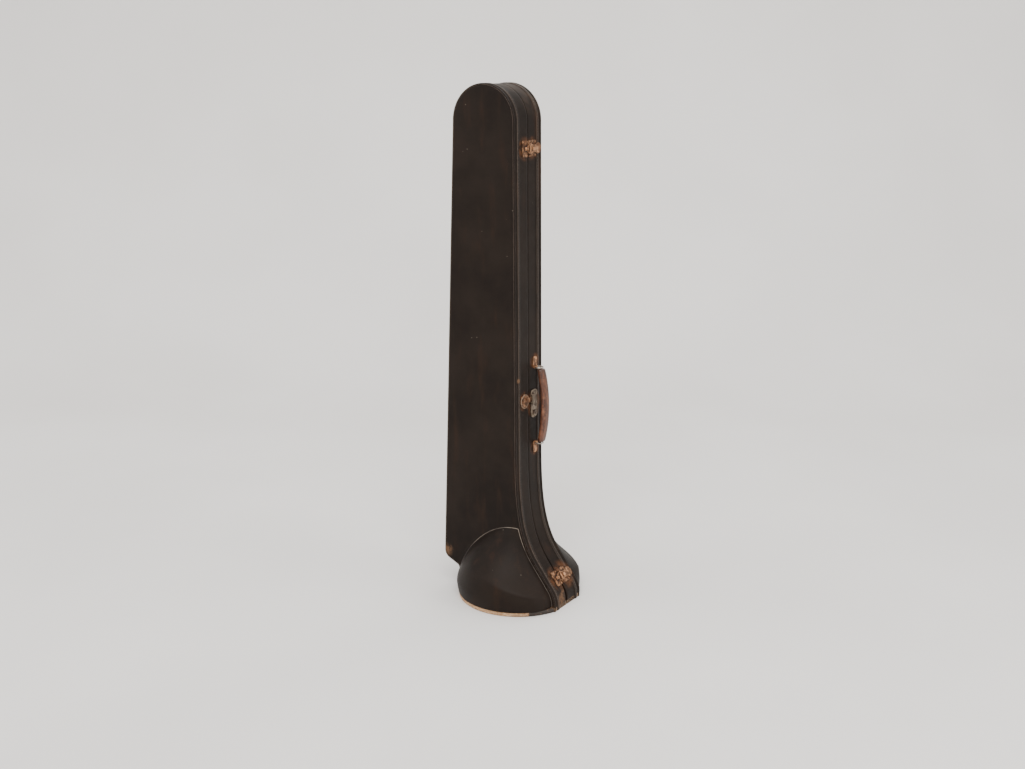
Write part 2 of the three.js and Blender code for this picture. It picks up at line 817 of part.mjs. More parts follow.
function accessoryBox() {
  const left = leftWallX(interiorInset, boxHigh) + clearance;
  const right = rightWallX(interiorInset, boxHigh) - clearance;
  const back = padFace - clearance;
  const outer = block(left, right, boxRim, back, boxLow, boxHigh);
  const hollow = block(left + boxWall, right - boxWall, boxRim - 1, back - boxWall,
    boxLow + boxWall, boxHigh - boxWall);
  return cut(outer, hollow);
}

function slideRest(middleZ) {
  const xs = [interiorMid - restSpacing / 2, interiorMid + restSpacing / 2];
  const rest = notchedBlock(middleZ, restDepth, restTop, xs, restNotchRadius);
  const bore = rodAlongY(screwRadius + clearance, restTop - 1, restTop + screwBite + clearance,
    interiorMid, middleZ, 12);
  return mirrored(cut(rest, bore));
}

function turnButton(middleZ) {
  const highY = -restTop + clearance + turnButtonThickness;
  const lowY = -restTop + clearance;
  const outline = roundedRectangle(interiorMid - turnButtonLength / 2,
    interiorMid + turnButtonLength / 2, middleZ - turnButtonWidth / 2,
    middleZ + turnButtonWidth / 2, turnButtonWidth / 2 - 0.2);
  const bar = acrossCase(outline.getPoints(4), lowY, highY);
  return cut(bar, rodAlongY(screwRadius + clearance, lowY - 1, highY + 1, interiorMid, middleZ, 12));
}

function buttonScrew(middleZ) {
  const underHead = -restTop + 2 * clearance + turnButtonThickness;
  const shank = rodAlongY(screwRadius, -restTop - screwBite, underHead + 0.2, interiorMid, middleZ, 10);
  const head = rodAlongY(screwHeadRadius, underHead, underHead + screwHeadHeight, interiorMid,
    middleZ, 12);
  return joined(shank, head);
}

// ---------------------------------------------------------------- assembly

function piece(parent, name, geometry, look) {
  const mesh = new THREE.Mesh(geometry, look);
  mesh.name = name;
  parent.add(mesh);
  return mesh;
}

// A group on a side wall: X points out, Z up along the wall, and its origin is on the wall at
// the seam.
function wallGroup(parent, low, high, along, outwardSign) {
  const run = new THREE.Vector2().subVectors(high, low).normalize();
  const up = new THREE.Vector3(run.x, 0, run.y);
  const out = new THREE.Vector3(run.y * outwardSign, 0, -run.x * outwardSign);
  const across = new THREE.Vector3().crossVectors(up, out);
  const group = new THREE.Group();
  group.setRotationFromMatrix(new THREE.Matrix4().makeBasis(out, across, up));
  const place = low.clone().addScaledVector(run, along);
  group.position.set(place.x, 0, place.y).addScaledVector(out, -frameInset);
  parent.add(group);
  return group;
}

function leftWallGroup(parent, z) {
  const low = new THREE.Vector2(heelX, heelZ);
  const high = new THREE.Vector2(topCentreX - topRadius, topCentreZ);
  const along = ((z - heelZ) / (topCentreZ - heelZ)) * low.distanceTo(high);
  return wallGroup(parent, low, high, along, -1);
}

function rightWallGroup(parent, z) {
  const low = new THREE.Vector2(flareStartX, flareStartZ);
  const high = new THREE.Vector2(topCentreX + topRadius, topCentreZ);
  const along = ((z - flareStartZ) / (topCentreZ - flareStartZ)) * low.distanceTo(high);
  return wallGroup(parent, low, high, along, 1);
}

function addShells(parent) {
  const pieces = [
    ['side_frame', sideFrame(), leatherette],
    ['bell_dome', domeSkin(0, domeShell), leatherette],
    ['bell_end_board', bellEndBoard(), plywood],
    ['bell_rim', bellRim(), wornRim],
    ['edge_binding', edgeBinding(), binding],
    ['body_lining', bodyLining(), plush],
    ['dome_lining', domeLining(), plush],
  ];
  for (const [name, geometry, look] of pieces) {
    piece(parent, `base_${name}`, geometry, look);
    const lidGeometry = mirrored(geometry);
    const meetsSeam = name === 'side_frame' || name === 'bell_end_board';
    piece(parent, `lid_${name}`, meetsSeam ? sprungOpen(lidGeometry) : lidGeometry, look);
  }
  piece(parent, 'base_back_panel', facePanel(), leatherette);
  piece(parent, 'lid_front_panel', mirrored(facePanel()), leatherette);
}

function addHinges(parent) {
  hingeHeights.forEach((z, i) => {
    const wall = leftWallGroup(parent, z);
    const name = `hinge_${['lower', 'middle', 'upper'][i]}`;
    piece(wall, `${name}_lid_leaf`, hingeLeaf(1, [1]), tarnishedBrass);
    piece(wall, `${name}_base_leaf`, hingeLeaf(-1, [0, 2]), tarnishedBrass);
    piece(wall, `${name}_pin`, hingePin(), steel);
  });
}

function addLatch(wall, name) {
  piece(wall, `${name}_keeper`, latchKeeper(), tarnishedBrass);
  piece(wall, `${name}_plate`, latchPlate(), tarnishedBrass);
  piece(wall, `${name}_lever`, latchLever(), tarnishedBrass);
  piece(wall, `${name}_pin`, latchPin(), steel);
  piece(wall, `${name}_link`, latchLink(), tarnishedBrass);
}

function addLock(parent) {
  piece(rightWallGroup(parent, catchZ), 'lock_catch', lockCatch(), tarnishedBrass);
  const wall = rightWallGroup(parent, lockZ);
  piece(wall, 'lock_plate', lockPlate(), tarnishedBrass);
  piece(wall, 'lock_button', lockButton(), tarnishedBrass);
}

function addHandle(parent) {
  const wall = rightWallGroup(parent, handleZ);
  const line = new THREE.Group();
  line.position.y = handleY;
  wall.add(line);
  piece(line, 'handle_grip', handleGrip(), handleLeather);
  for (const [name, side] of [['upper', 1], ['lower', -1]]) {
    piece(line, `handle_ring_${name}`, handleRing(side, handleRingWire), steel);
    piece(line, `handle_plate_${name}`, handlePlate(side), tarnishedBrass);
  }
}

function addFittings(parent) {
  piece(parent, 'bell_collar_block', collarBlock(), plush);
  piece(parent, 'bow_block', bowBlock(), plush);
  piece(parent, 'accessory_box', accessoryBox(), plush);
  for (const [name, z] of Object.entries(restHeights)) {
    piece(parent, `slide_rest_${name}`, slideRest(z), plush);
    piece(parent, `turn_button_${name}`, turnButton(z), plywood);
    piece(parent, `turn_button_screw_${name}`, buttonScrew(z), steel);
  }
}

const trombone_case = new THREE.Group();
addShells(trombone_case);
addHinges(trombone_case);
addLatch(rightWallGroup(trombone_case, topLatchZ), 'top_latch');
addLatch(wallGroup(trombone_case, seatEnd, seatStart, bottomLatchRise, 1), 'bottom_latch');
addLock(trombone_case);
addHandle(trombone_case);
addFittings(trombone_case);

trombone_case.updateMatrixWorld(true);
const box = new THREE.Box3().setFromObject(trombone_case);
trombone_case.position.x = -(box.min.x + box.max.x) / 2;
trombone_case.updateMatrixWorld(true);

export default trombone_case;
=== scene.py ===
"""Looks for the trombone case: covered shells, worn brass, leather handle and plush inside."""
import json
import math
import random

import bmesh
import bpy
from mathutils import Matrix, Vector, noise
from mathutils.geometry import delaunay_2d_cdt


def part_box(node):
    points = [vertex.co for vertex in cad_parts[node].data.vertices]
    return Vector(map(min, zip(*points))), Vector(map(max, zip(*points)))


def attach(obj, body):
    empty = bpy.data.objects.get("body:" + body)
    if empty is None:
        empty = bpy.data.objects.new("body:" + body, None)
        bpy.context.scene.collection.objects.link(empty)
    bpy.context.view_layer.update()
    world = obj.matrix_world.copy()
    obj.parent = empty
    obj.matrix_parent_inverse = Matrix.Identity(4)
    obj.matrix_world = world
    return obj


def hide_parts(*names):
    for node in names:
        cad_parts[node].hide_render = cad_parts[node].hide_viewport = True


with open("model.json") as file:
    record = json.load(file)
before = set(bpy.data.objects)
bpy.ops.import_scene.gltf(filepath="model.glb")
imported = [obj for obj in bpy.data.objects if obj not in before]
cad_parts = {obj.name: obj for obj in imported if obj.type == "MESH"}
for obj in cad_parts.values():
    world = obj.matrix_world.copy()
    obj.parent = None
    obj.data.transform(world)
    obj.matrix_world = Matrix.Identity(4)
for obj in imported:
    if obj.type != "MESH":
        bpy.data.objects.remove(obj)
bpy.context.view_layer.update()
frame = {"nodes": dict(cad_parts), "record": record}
scene = bpy.context.scene
dice = random.Random(7)

# ---------------------------------------------------------------- sizes, in millimetres
# Lengths are drawn in mm about the bell's axis, as the case itself is, and turned to metres
# when a mesh is made.

MM = 0.001
HALF_THICKNESS = 45.2
CASE_HEIGHT = 960.0
TOP_RADIUS = 65.5
TOP_X = -48.0
TOP_Z = CASE_HEIGHT - TOP_RADIUS
FOOT_X = 110.1
HEEL = (-144.4, 60.0)
HEEL_RADIUS = 12.0
NOTCH_DROP = 16.0
NOTCH_RADIUS = 5.0
FLARE_START = (22.0, 330.0)
FLARE_LEAN = math.radians(37.3)
SEAT_LENGTH = 53.0
SEAT_END = (FOOT_X - 11.7, 42.0)
UPPER_PULL = 125.0
LOWER_PULL = 68.0
FOOT_STRAIGHT = 12.1
FLARE_DOWN = (math.sin(FLARE_LEAN), -math.cos(FLARE_LEAN))
SEAT_START = tuple(SEAT_END[k] - FLARE_DOWN[k] * SEAT_LENGTH for k in (0, 1))
TOP_STEPS = 72
WALL_INSET = 1.3
SPRUNG_GAP = 5.2
SPRUNG_HEIGHT = 170.0

BELL_X = 1.5
BELL_Y = 5.0
BELL_END_RADIUS = 111.0
WAIST_X = 0.0
WAIST_Z = 30.5
DOME_RADIUS = 117.2
DOME_TUCK = 4.2
DOME_HEIGHT = 156.6
DOME_POWER = 1.744
DOME_LEAN = 0.185
DOME_LEDGE = 7.0
DOME_ROLL = 12.3
DOME_ROLL_GROWTH = 2.64
DOME_ROLL_START = 38.9
DOME_SHELL = 4.0
DOME_LINING_INSET = DOME_SHELL + 1.2
PLUSH = 2.5
FACE_INNER = 41.2
FACE_OUTER = 44.9
LINING_BACK = 40.6
STITCH_Y = 31.9
STAND_Z = 8.3

LATCH_Z = 847.0
BOTTOM_LATCH_RISE = 12.0
LOCK_Z = 378.0
CATCH_Z = 388.0
CATCH_Y = -14.6
HANDLE_Z = 374.5
HANDLE_Y = 21.0
GRIP_HALF_LENGTH = 69.5
GRIP_HALF_THICKNESS = 5.5
GRIP_HALF_WIDTH = 10.5
GRIP_STANDOFF = 15.0
GRIP_BOW = 8.5
RING_STANDOFF = 3.5
RING_RADIUS = 7.3
RING_Z = 73.0
EYE_Z = 84.0
PLATE_FACE = 1.8
BEAD_X = PLATE_FACE + 0.05

SIDES = {"base": 1.0, "lid": -1.0}

# The pads' cloth, in metres.
PAD_VOXEL = 0.0036
PAD_SHRINK = 0.0011
PAD_SWELL = 0.0026
CLOTH_STEPS = 12

# Where the camera stands, in metres, the way it looks, and its lens.
CAMERA_PLACE = (1.24148, -1.88641, 0.99664)
CAMERA_FORWARD = (-0.53134742, 0.80921389, -0.25068464)
LENS = 43.86


# ---------------------------------------------------------------- the outline of the case

def quadratic(a, b, c, steps):
    for i in range(1, steps + 1):
        t = i / steps
        yield tuple((1 - t) ** 2 * a[k] + 2 * t * (1 - t) * b[k] + t * t * c[k] for k in (0, 1))


def cubic(a, b, c, d, steps):
    for i in range(1, steps + 1):
        t = i / steps
        u = 1 - t
        yield tuple(
            u ** 3 * a[k] + 3 * u * u * t * b[k] + 3 * u * t * t * c[k] + t ** 3 * d[k]
            for k in (0, 1)
        )


def straight(a, b, gap=12.0):
    steps = max(1, round(math.dist(a, b) / gap))
    for i in range(1, steps + 1):
        yield tuple(a[k] + (b[k] - a[k]) * i / steps for k in (0, 1))


def towards(a, b, length):
    run = math.dist(a, b)
    return tuple(a[k] + (b[k] - a[k]) * length / run for k in (0, 1))


def outline(foot_z=0.4):
    """The line round the case seen from the front, from the right foot to the left foot."""
    turn = (FOOT_X, SEAT_END[1] - (FOOT_X - SEAT_END[0]) / math.tan(FLARE_LEAN))
    lower = tuple(SEAT_START[k] - FLARE_DOWN[k] * LOWER_PULL for k in (0, 1))
    upper = (FLARE_START[0], FLARE_START[1] - UPPER_PULL)
    notch = (-FOOT_X, HEEL[1] - NOTCH_DROP)
    points = [(FOOT_X, foot_z)]
    points += straight(points[-1], (FOOT_X, FOOT_STRAIGHT), 3)
    points += quadratic(points[-1], turn, SEAT_END, 14)
    points += straight(points[-1], SEAT_START, 6)
    points += cubic(points[-1], lower, upper, FLARE_START, 48)
    points += straight(points[-1], (TOP_X + TOP_RADIUS, TOP_Z))
    for i in range(1, TOP_STEPS + 1):
        turned = math.pi * i / TOP_STEPS
        points.append((TOP_X + TOP_RADIUS * math.cos(turned),
                       TOP_Z + TOP_RADIUS * math.sin(turned)))
    points += straight(points[-1], towards(HEEL, points[-1], HEEL_RADIUS))
    points += quadratic(points[-1], HEEL, towards(HEEL, notch, HEEL_RADIUS), 12)
    points += straight(points[-1], towards(notch, HEEL, NOTCH_RADIUS), 4)
    points += quadratic(points[-1], notch, (notch[0], notch[1] - NOTCH_RADIUS), 8)
    points += straight(points[-1], (-FOOT_X, foot_z), 4)
    return points


def inward(points, i):
    a = points[max(i - 1, 0)]
    b = points[min(i + 1, len(points) - 1)]
    run = math.dist(a, b)
    return (a[1] - b[1]) / run, (b[0] - a[0]) / run


def moved_in(points, inset):
    """The outline moved inwards. A stretch that an inside turn is too tight for is gathered up."""
    out = []
    for i, p in enumerate(points):
        nx, nz = inward(points, i)
        out.append([p[0] + nx * inset, p[1] + nz * inset])
    for i in range(1, len(out)):
        run = (points[i][0] - points[i - 1][0], points[i][1] - points[i - 1][1])
        step = (out[i][0] - out[i - 1][0], out[i][1] - out[i - 1][1])
        if step[0] * run[0] + step[1] * run[1] <= 0:
            out[i] = list(out[i - 1])
    return [tuple(p) for p in out]


OUTLINE = outline()
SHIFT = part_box("base_edge_binding")[0].x / MM - min(p[0] for p in OUTLINE)


def wall_x(z):
    """X of the right wall's outside at one height."""
    line = moved_in(OUTLINE, WALL_INSET)
    for a, b in zip(line, line[1:]):
        if b[1] >= z:
            return a[0] + (b[0] - a[0]) * (z - a[1]) / max(b[1] - a[1], 1e-6)
    return line[0][0]


# ---------------------------------------------------------------- the bell dome

def bell_circle(z, inset=0.0):
    above = max(z - WAIST_Z, 0) / (DOME_HEIGHT - inset - WAIST_Z)
    below = max(WAIST_Z - z, 0) / WAIST_Z
    closing = math.sqrt(max(1 - min(above, 1) ** DOME_POWER, 0))
    radius = (DOME_RADIUS - inset) * closing - DOME_TUCK * below ** 2
    centre = WAIST_X + (BELL_X - WAIST_X) * below + DOME_LEAN * max(z - WAIST_Z, 0)
    return radius, centre


def dome_edges(z, inset=0.0):
    radius, centre = bell_circle(z, inset)
    half = math.sqrt(max(radius ** 2 - (HALF_THICKNESS - BELL_Y) ** 2, 0))
    ledge = wall_x(z) - DOME_LEDGE - inset
    return centre - half, min(centre + half, ledge)


def dome_top(inset=0.0):
    low, high = STAND_Z, DOME_HEIGHT - inset
    for _ in range(24):
        middle = (low + high) / 2
        left, right = dome_edges(middle, inset)
        if right > left:
            low = middle
        else:
            high = middle
    return low


def dome_y(x, z, left, right, inset=0.0):
    radius, centre = bell_circle(z, inset)
    out = BELL_Y + math.sqrt(max(radius ** 2 - (x - centre) ** 2, 0))
    width = DOME_ROLL + DOME_ROLL_GROWTH * max(z - DOME_ROLL_START, 0)
    share = min(max((right - x) / width, 0), 1)
    roll = math.sqrt(1 - (1 - share) ** 2)
    return HALF_THICKNESS + max(out - HALF_THICKNESS, 0) * roll


def dome_rows(inset, low_z, rows, columns):
    """Level rows of points over the dome's outside, from the right edge to the left one."""
    top = dome_top(inset)
    grid = []
    for i in range(rows + 1):
        z = low_z + (top - low_z) * math.sin(math.pi / 2 * i / rows)
        left, right = dome_edges(max(z, STAND_Z), inset)
        row = []
        for k in range(columns + 1):
            x = (left + right) / 2 + (right - left) / 2 * math.cos(math.pi * k / columns)
            row.append((x, dome_y(x, max(z, STAND_Z), left, right, inset), z))
        grid.append(row)
    return grid


def dome_border(inset, low_z=STAND_Z, steps=40):
    """The dome's edge on the face of the case: up the right side and down the left."""
    top = dome_top(inset)
    rights, lefts = [], []
    for i in range(steps + 1):
        z = low_z + (top - low_z) * math.sin(math.pi / 2 * i / steps)
        left, right = dome_edges(z, inset)
        rights.append((right, z))
        lefts.append((left, z))
    return rights + lefts[-2::-1]


# ---------------------------------------------------------------- mesh helpers

def to_metres(point, side=1.0):
    return Vector(((point[0] + SHIFT) * MM, side * point[1] * MM, point[2] * MM))


def finish_mesh(obj, sharp=40.0, merge=1e-6):
    """Welds the mesh, turns its faces outwards and keeps hard only the edges sharper than this."""
    mesh = bmesh.new()
    mesh.from_mesh(obj.data)
    bmesh.ops.remove_doubles(mesh, verts=mesh.verts, dist=merge)
    bmesh.ops.dissolve_degenerate(mesh, edges=mesh.edges, dist=merge)
    bmesh.ops.recalc_face_normals(mesh, faces=mesh.faces)
    for face in mesh.faces:
        face.smooth = True
    for edge in mesh.edges:
        if len(edge.link_faces) == 2:
            edge.smooth = edge.calc_face_angle(0) < math.radians(sharp)
    mesh.to_mesh(obj.data)
    mesh.free()
    return obj


def new_piece(name, shape, look, body, stands_for=(), sharp=60.0):
    """A piece from its points and faces. Its slot has its look's name."""
    mesh = bpy.data.meshes.new(name)
    mesh.from_pydata([tuple(p) for p in shape[0]], [], shape[1])
    obj = bpy.data.objects.new(name, mesh)
    scene.collection.objects.link(obj)
    finish_mesh(obj, sharp)
    mesh.materials.append(LOOKS[look])
    if stands_for:
        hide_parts(*stands_for)
    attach(obj, body)


def turns(count):
    """Evenly spaced angles round a circle."""
    return [2 * math.pi * i / count for i in range(count)]


def band_faces(rings, count, closed=False):
    """Faces that join rings of count points each, and the last ring to the first if closed."""
    total = rings * count
    faces = []
    for i in range(rings if closed else rings - 1):
        for k in range(count):
            a = i * count + k
            b = i * count + (k + 1) % count
            faces.append((a, b, (b + count) % total, (a + count) % total))
    return faces


def capped_faces(rings, count):
    """Faces that join rings of points, with a lid on the first ring and the last."""
    total = rings * count
    return band_faces(rings, count) + [tuple(range(count)), tuple(range(total - count, total))]


def swept(profile, points, side):
    """Points and faces of a closed profile of (inset, y) carried along an outline."""
    rings = [moved_in(points, inset) for inset, _ in profile]
    verts = []
    for i in range(len(points)):
        for ring, (_, y) in zip(rings, profile):
            verts.append(to_metres((ring[i][0], y, ring[i][1]), side))
    return verts, capped_faces(len(points), len(profile))


def inside(polygon, x, z):
    hit = False
    for (ax, az), (bx, bz) in zip(polygon, polygon[1:] + polygon[:1]):
        if (az > z) != (bz > z) and x < ax + (bx - ax) * (z - az) / (bz - az):
            hit = not hit
    return hit


def near_border(polygon, x, z, reach):
    point = Vector((x, z))
    for a, b in zip(polygon, polygon[1:] + polygon[:1]):
        start, run = Vector(a), Vector(b) - Vector(a)
        share = min(max((point - start).dot(run) / max(run.length_squared, 1e-9), 0), 1)
        if (point - start - run * share).length < reach:
            return True
    return False


def slab(border, spacing, top_y, low_y, side):
    """A plate with a finely divided top whose height is top_y(x, z), and a flat underside."""
    flat = [Vector(p) for p in border]
    edges = [(i, (i + 1) % len(border)) for i in range(len(border))]
    xs, zs = zip(*border)
    for r in range(1, int((max(zs) - min(zs)) / spacing)):
        for c in range(1, int((max(xs) - min(xs)) / spacing)):
            x = min(xs) + (c + 0.5 * (r % 2)) * spacing
            z = min(zs) + r * spacing
            if inside(border, x, z) and not near_border(border, x, z, spacing * 0.6):
                flat.append(Vector((x, z)))
    spots, _, triangles = delaunay_2d_cdt(flat, edges, [], 1, 1e-5)[:3]
    kept_faces = []
    for face in triangles:
        x = sum(spots[i].x for i in face) / len(face)
        z = sum(spots[i].y for i in face) / len(face)
        if inside(border, x, z):
            kept_faces.append(list(face))
    count = len(spots)
    verts = [(p.x, top_y(p.x, p.y), p.y) for p in spots]
    verts += [(p.x, low_y, p.y) for p in spots]
    uses = {}
    for face in kept_faces:
        for a, b in zip(face, face[1:] + face[:1]):
            uses.setdefault((min(a, b), max(a, b)), []).append((a, b))
    faces = [tuple(f) for f in kept_faces]
    faces += [tuple(i + count for i in reversed(f)) for f in kept_faces]
    for pair in uses.values():
        if len(pair) == 1:
            a, b = pair[0]
            faces.append((b, a, a + count, b + count))
    return [to_metres(v, side) for v in verts], faces


def tube(path, radius, sides=8, closed=False):
    """Points and faces of a round bead along a path of metre points."""
    verts = []
    last = len(path) - 1
    across = None
    for i, point in enumerate(path):
        before = path[i - 1] if i > 0 or closed else path[i]
        after = path[(i + 1) % len(path)] if i < last or closed else path[i]
        run = (after - before).normalized()
        if across is None:
            across = run.orthogonal().normalized()
        across = (across - run * across.dot(run)).normalized()
        up = run.cross(across)
        for turned in turns(sides):
            verts.append(point + (across * math.cos(turned) + up * math.sin(turned)) * radius)
    if closed:
        return verts, band_faces(len(path), sides, True)
    return verts, capped_faces(len(path), sides)


def bundled(shapes):
    """Many small closed forms gathered into one mesh."""
    verts, faces = [], []
    for more, rings in shapes:
        first = len(verts)
        verts += more
        faces += [tuple(i + first for i in face) for face in rings]
    return verts, faces


def domed_nail(centre, out, radius, rise):
    """A round nail head: a shallow dome on a short skirt, set in the surface at centre."""
    out = out.normalized()
    across = out.orthogonal().normalized()
    up = out.cross(across)
    rows = [(1.0, -0.4), (1.0, 0.1), (0.9, 0.45), (0.66, 0.78), (0.34, 0.95)]
    sides = 12
    verts = []
    for wide, high in rows:
        for turned in turns(sides):
            round_way = across * math.cos(turned) + up * math.sin(turned)
            verts.append(centre + round_way * radius * wide + out * rise * high)
    verts.append(centre + out * rise)
    top = (len(rows) - 1) * sides
    faces = band_faces(len(rows), sides)
    faces += [(top + k, top + (k + 1) % sides, len(verts) - 1) for k in range(sides)]
    faces.append(tuple(range(sides - 1, -1, -1)))
    return verts, faces


# ---------------------------------------------------------------- walls the fittings sit on

def wall_frame(low, high, along, sign):
    """Matrix of a place on a side wall: X points out, Z up the wall, origin on it at the seam."""
    run = math.dist(low, high)
    rx, rz = (high[0] - low[0]) / run, (high[1] - low[1]) / run
    out = Vector((rz * sign, 0, -rx * sign))
    up = Vector((rx, 0, rz))
    place = Vector((low[0] + rx * along + SHIFT, 0, low[1] + rz * along)) - out * WALL_INSET
    frame_matrix = Matrix((out, up.cross(out), up)).transposed().to_4x4()
    frame_matrix.translation = place * MM
    return frame_matrix


def right_wall(z):
    high = (TOP_X + TOP_RADIUS, TOP_Z)
    share = (z - FLARE_START[1]) / (TOP_Z - FLARE_START[1])
    return wall_frame(FLARE_START, high, share * math.dist(FLARE_START, high), 1)


def left_wall(z):
    high = (TOP_X - TOP_RADIUS, TOP_Z)
    share = (z - HEEL[1]) / (TOP_Z - HEEL[1])
    return wall_frame(HEEL, high, share * math.dist(HEEL, high), -1)


def flare_seat():
    return wall_frame(SEAT_END, SEAT_START, BOTTOM_LATCH_RISE, 1)


def on_wall(wall, x, y, z):
    return wall @ (Vector((x, y, z)) * MM)


# ---------------------------------------------------------------- looks

# The colour sockets of a Mix node, which has others of the same names.
MIX_COLOURS_IN = (6, 7)
MIX_COLOUR_OUT = 2


class Look:
    """A node material built one socket at a time."""

    def __init__(self, name):
        self.material = bpy.data.materials.new(name)
        self.material.use_nodes = True
        self.tree = self.material.node_tree
        self.shader = self.tree.nodes["Principled BSDF"]
        self.place = self.node("ShaderNodeTexCoord").outputs["Object"]

    def node(self, kind, **settings):
        made = self.tree.nodes.new(kind)
        for key, value in settings.items():
            setattr(made, key, value)
        return made

    def put(self, socket, value):
        if isinstance(value, bpy.types.NodeSocket):
            self.tree.links.new(value, socket)
        elif value is not None:
            socket.default_value = value

    def fill(self, node, **values):
        """Sets a node's sockets by name, with _ for a space. None leaves a socket alone."""
        for key, value in values.items():
            self.put(node.inputs[key.replace("_", " ")], value)

    def stretched(self, scale):
        node = self.node("ShaderNodeMapping")
        self.fill(node, Vector=self.place, Scale=scale)
        return node.outputs["Vector"]

    def noise(self, scale, detail=4.0, rough=0.55, place=None, distort=0.0):
        node = self.node("ShaderNodeTexNoise")
        self.fill(node, Vector=place or self.place, Scale=scale, Detail=detail, Roughness=rough,
                  Distortion=distort)
        return node.outputs["Fac"]

    def cells(self, scale, feature="F1", place=None):
        node = self.node("ShaderNodeTexVoronoi", feature=feature)
        self.fill(node, Vector=place or self.place, Scale=scale)
        return node.outputs["Distance"]

    def math(self, operation, a, b=None, clamp=False):
        node = self.node("ShaderNodeMath", operation=operation, use_clamp=clamp)
        self.put(node.inputs[0], a)
        self.put(node.inputs[1], b)
        return node.outputs[0]

    def ramp(self, factor, low, high):
        """0 below low, 1 above high, smooth between."""
        node = self.node("ShaderNodeMapRange", interpolation_type="SMOOTHSTEP")
        self.fill(node, Value=factor, From_Min=low, From_Max=high)
        return node.outputs["Result"]

    def mix(self, factor, a, b):
        node = self.node("ShaderNodeMix", data_type="RGBA")
        self.put(node.inputs["Factor"], factor)
        for socket, value in zip(MIX_COLOURS_IN, (a, b)):
            linked = isinstance(value, bpy.types.NodeSocket)
            self.put(node.inputs[socket], value if linked else (*value, 1))
        return node.outputs[MIX_COLOUR_OUT]

    def glaze(self, colour, mask, strength, tint):
        """The colour with a tint laid over it where the mask is."""
        return self.mix(self.times(mask, strength), colour, tint)

    def times(self, a, b):
        return self.math("MULTIPLY", a, b)

    def scaled(self, value, factor, start):
        return self.math("ADD", self.times(value, factor), start)

    def spot(self, centre, low, high):
        """1 within low mm of a point of the case, 0 beyond high mm."""
        node = self.node("ShaderNodeVectorMath", operation="DISTANCE")
        self.put(node.inputs[0], self.place)
        node.inputs[1].default_value = centre
        inner = self.node("ShaderNodeMapRange", interpolation_type="SMOOTHSTEP")
        self.fill(inner, Value=node.outputs["Value"], From_Min=low * MM, From_Max=high * MM,
                  To_Min=1.0, To_Max=0.0)
        return inner.outputs["Result"]

    def axis(self, which):
        node = self.node("ShaderNodeSeparateXYZ")
        self.put(node.inputs[0], self.place)
        return node.outputs[which]

    def bump(self, height, strength, distance, normal=None):
        node = self.node("ShaderNodeBump")
        self.fill(node, Strength=strength, Distance=distance * MM, Height=height, Normal=normal)
        return node.outputs["Normal"]

    def done(self, colour, roughness, normal=None, **uniform):
        self.fill(self.shader, Base_Color=colour, Roughness=roughness, Normal=normal, **uniform)
        return self.material


def hardware_places():
    """Where brass sits on the cloth, with the reach of the rust it has left."""
    top, seat = right_wall(LATCH_Z), flare_seat()
    return [
        (on_wall(top, 0, -9, 0), 15, 24),
        (on_wall(top, 0, 14, 0), 15, 24),
        (on_wall(seat, 0, -9, 0), 17, 28),
        (on_wall(seat, 0, 17, 0), 19, 32),
        (on_wall(right_wall(CATCH_Z), 0, -14, 0), 14, 21),
        (on_wall(right_wall(LOCK_Z), 0, 17, 0), 18, 28),
        (on_wall(right_wall(HANDLE_Z + EYE_Z), 0, HANDLE_Y, 0), 10, 17),
        (on_wall(right_wall(HANDLE_Z - EYE_Z), 0, HANDLE_Y, 0), 10, 17),
    ]


def worn_places():
    """Places where the cloth is rubbed through to brown: (centre, inner, outer) in mm."""
    return [
        (to_metres((-137, -42, 72)), 4, 17),
        (to_metres((-128, -30, 54)), 3, 12),
        (to_metres((109, -20, 14)), 5, 17),
        (to_metres((108, -12, 26)), 3, 12),
        (to_metres((104, -44, 4)), 2, 9),
        (on_wall(right_wall(431), 0, -34, 0), 2, 6),
    ]


def top_highlight_places():
    """Places on the top curve painted lighter brown: painted highlight where the curve faces the
    light from above.
    """
    return [(to_metres((-30, 20, 955)), 8, 52), (to_metres((8, 24, 930)), 6, 40)]


def joined_spots(look, places):
    whole = None
    for centre, low, high in places:
        one = look.spot(centre, low, high)
        whole = one if whole is None else look.math("MAXIMUM", whole, one)
    return whole


def crest_wear_and_highlight(look, colour, mottle, lines):
    """Pale lines that run round the case on the bead crests, a painted highlight that is partly
    rubbed wear: (distance from the seam, half width, strength).
    """
    across = look.math("ABSOLUTE", look.axis("Y"))
    for middle, reach, strength in lines:
        away = look.math("ABSOLUTE", look.math("SUBTRACT", across, middle * MM))
        line = look.math("SUBTRACT", 1.0, look.ramp(away, reach * MM * 0.4, reach * MM))
        highlight_on_bead = look.times(line, look.ramp(mottle, 0.2, 0.55))
        # Painted highlight on the crest, partly rubbed wear, broken up by the mottle.
        colour = look.glaze(colour, highlight_on_bead, strength, (0.13, 0.1, 0.08))
    return colour


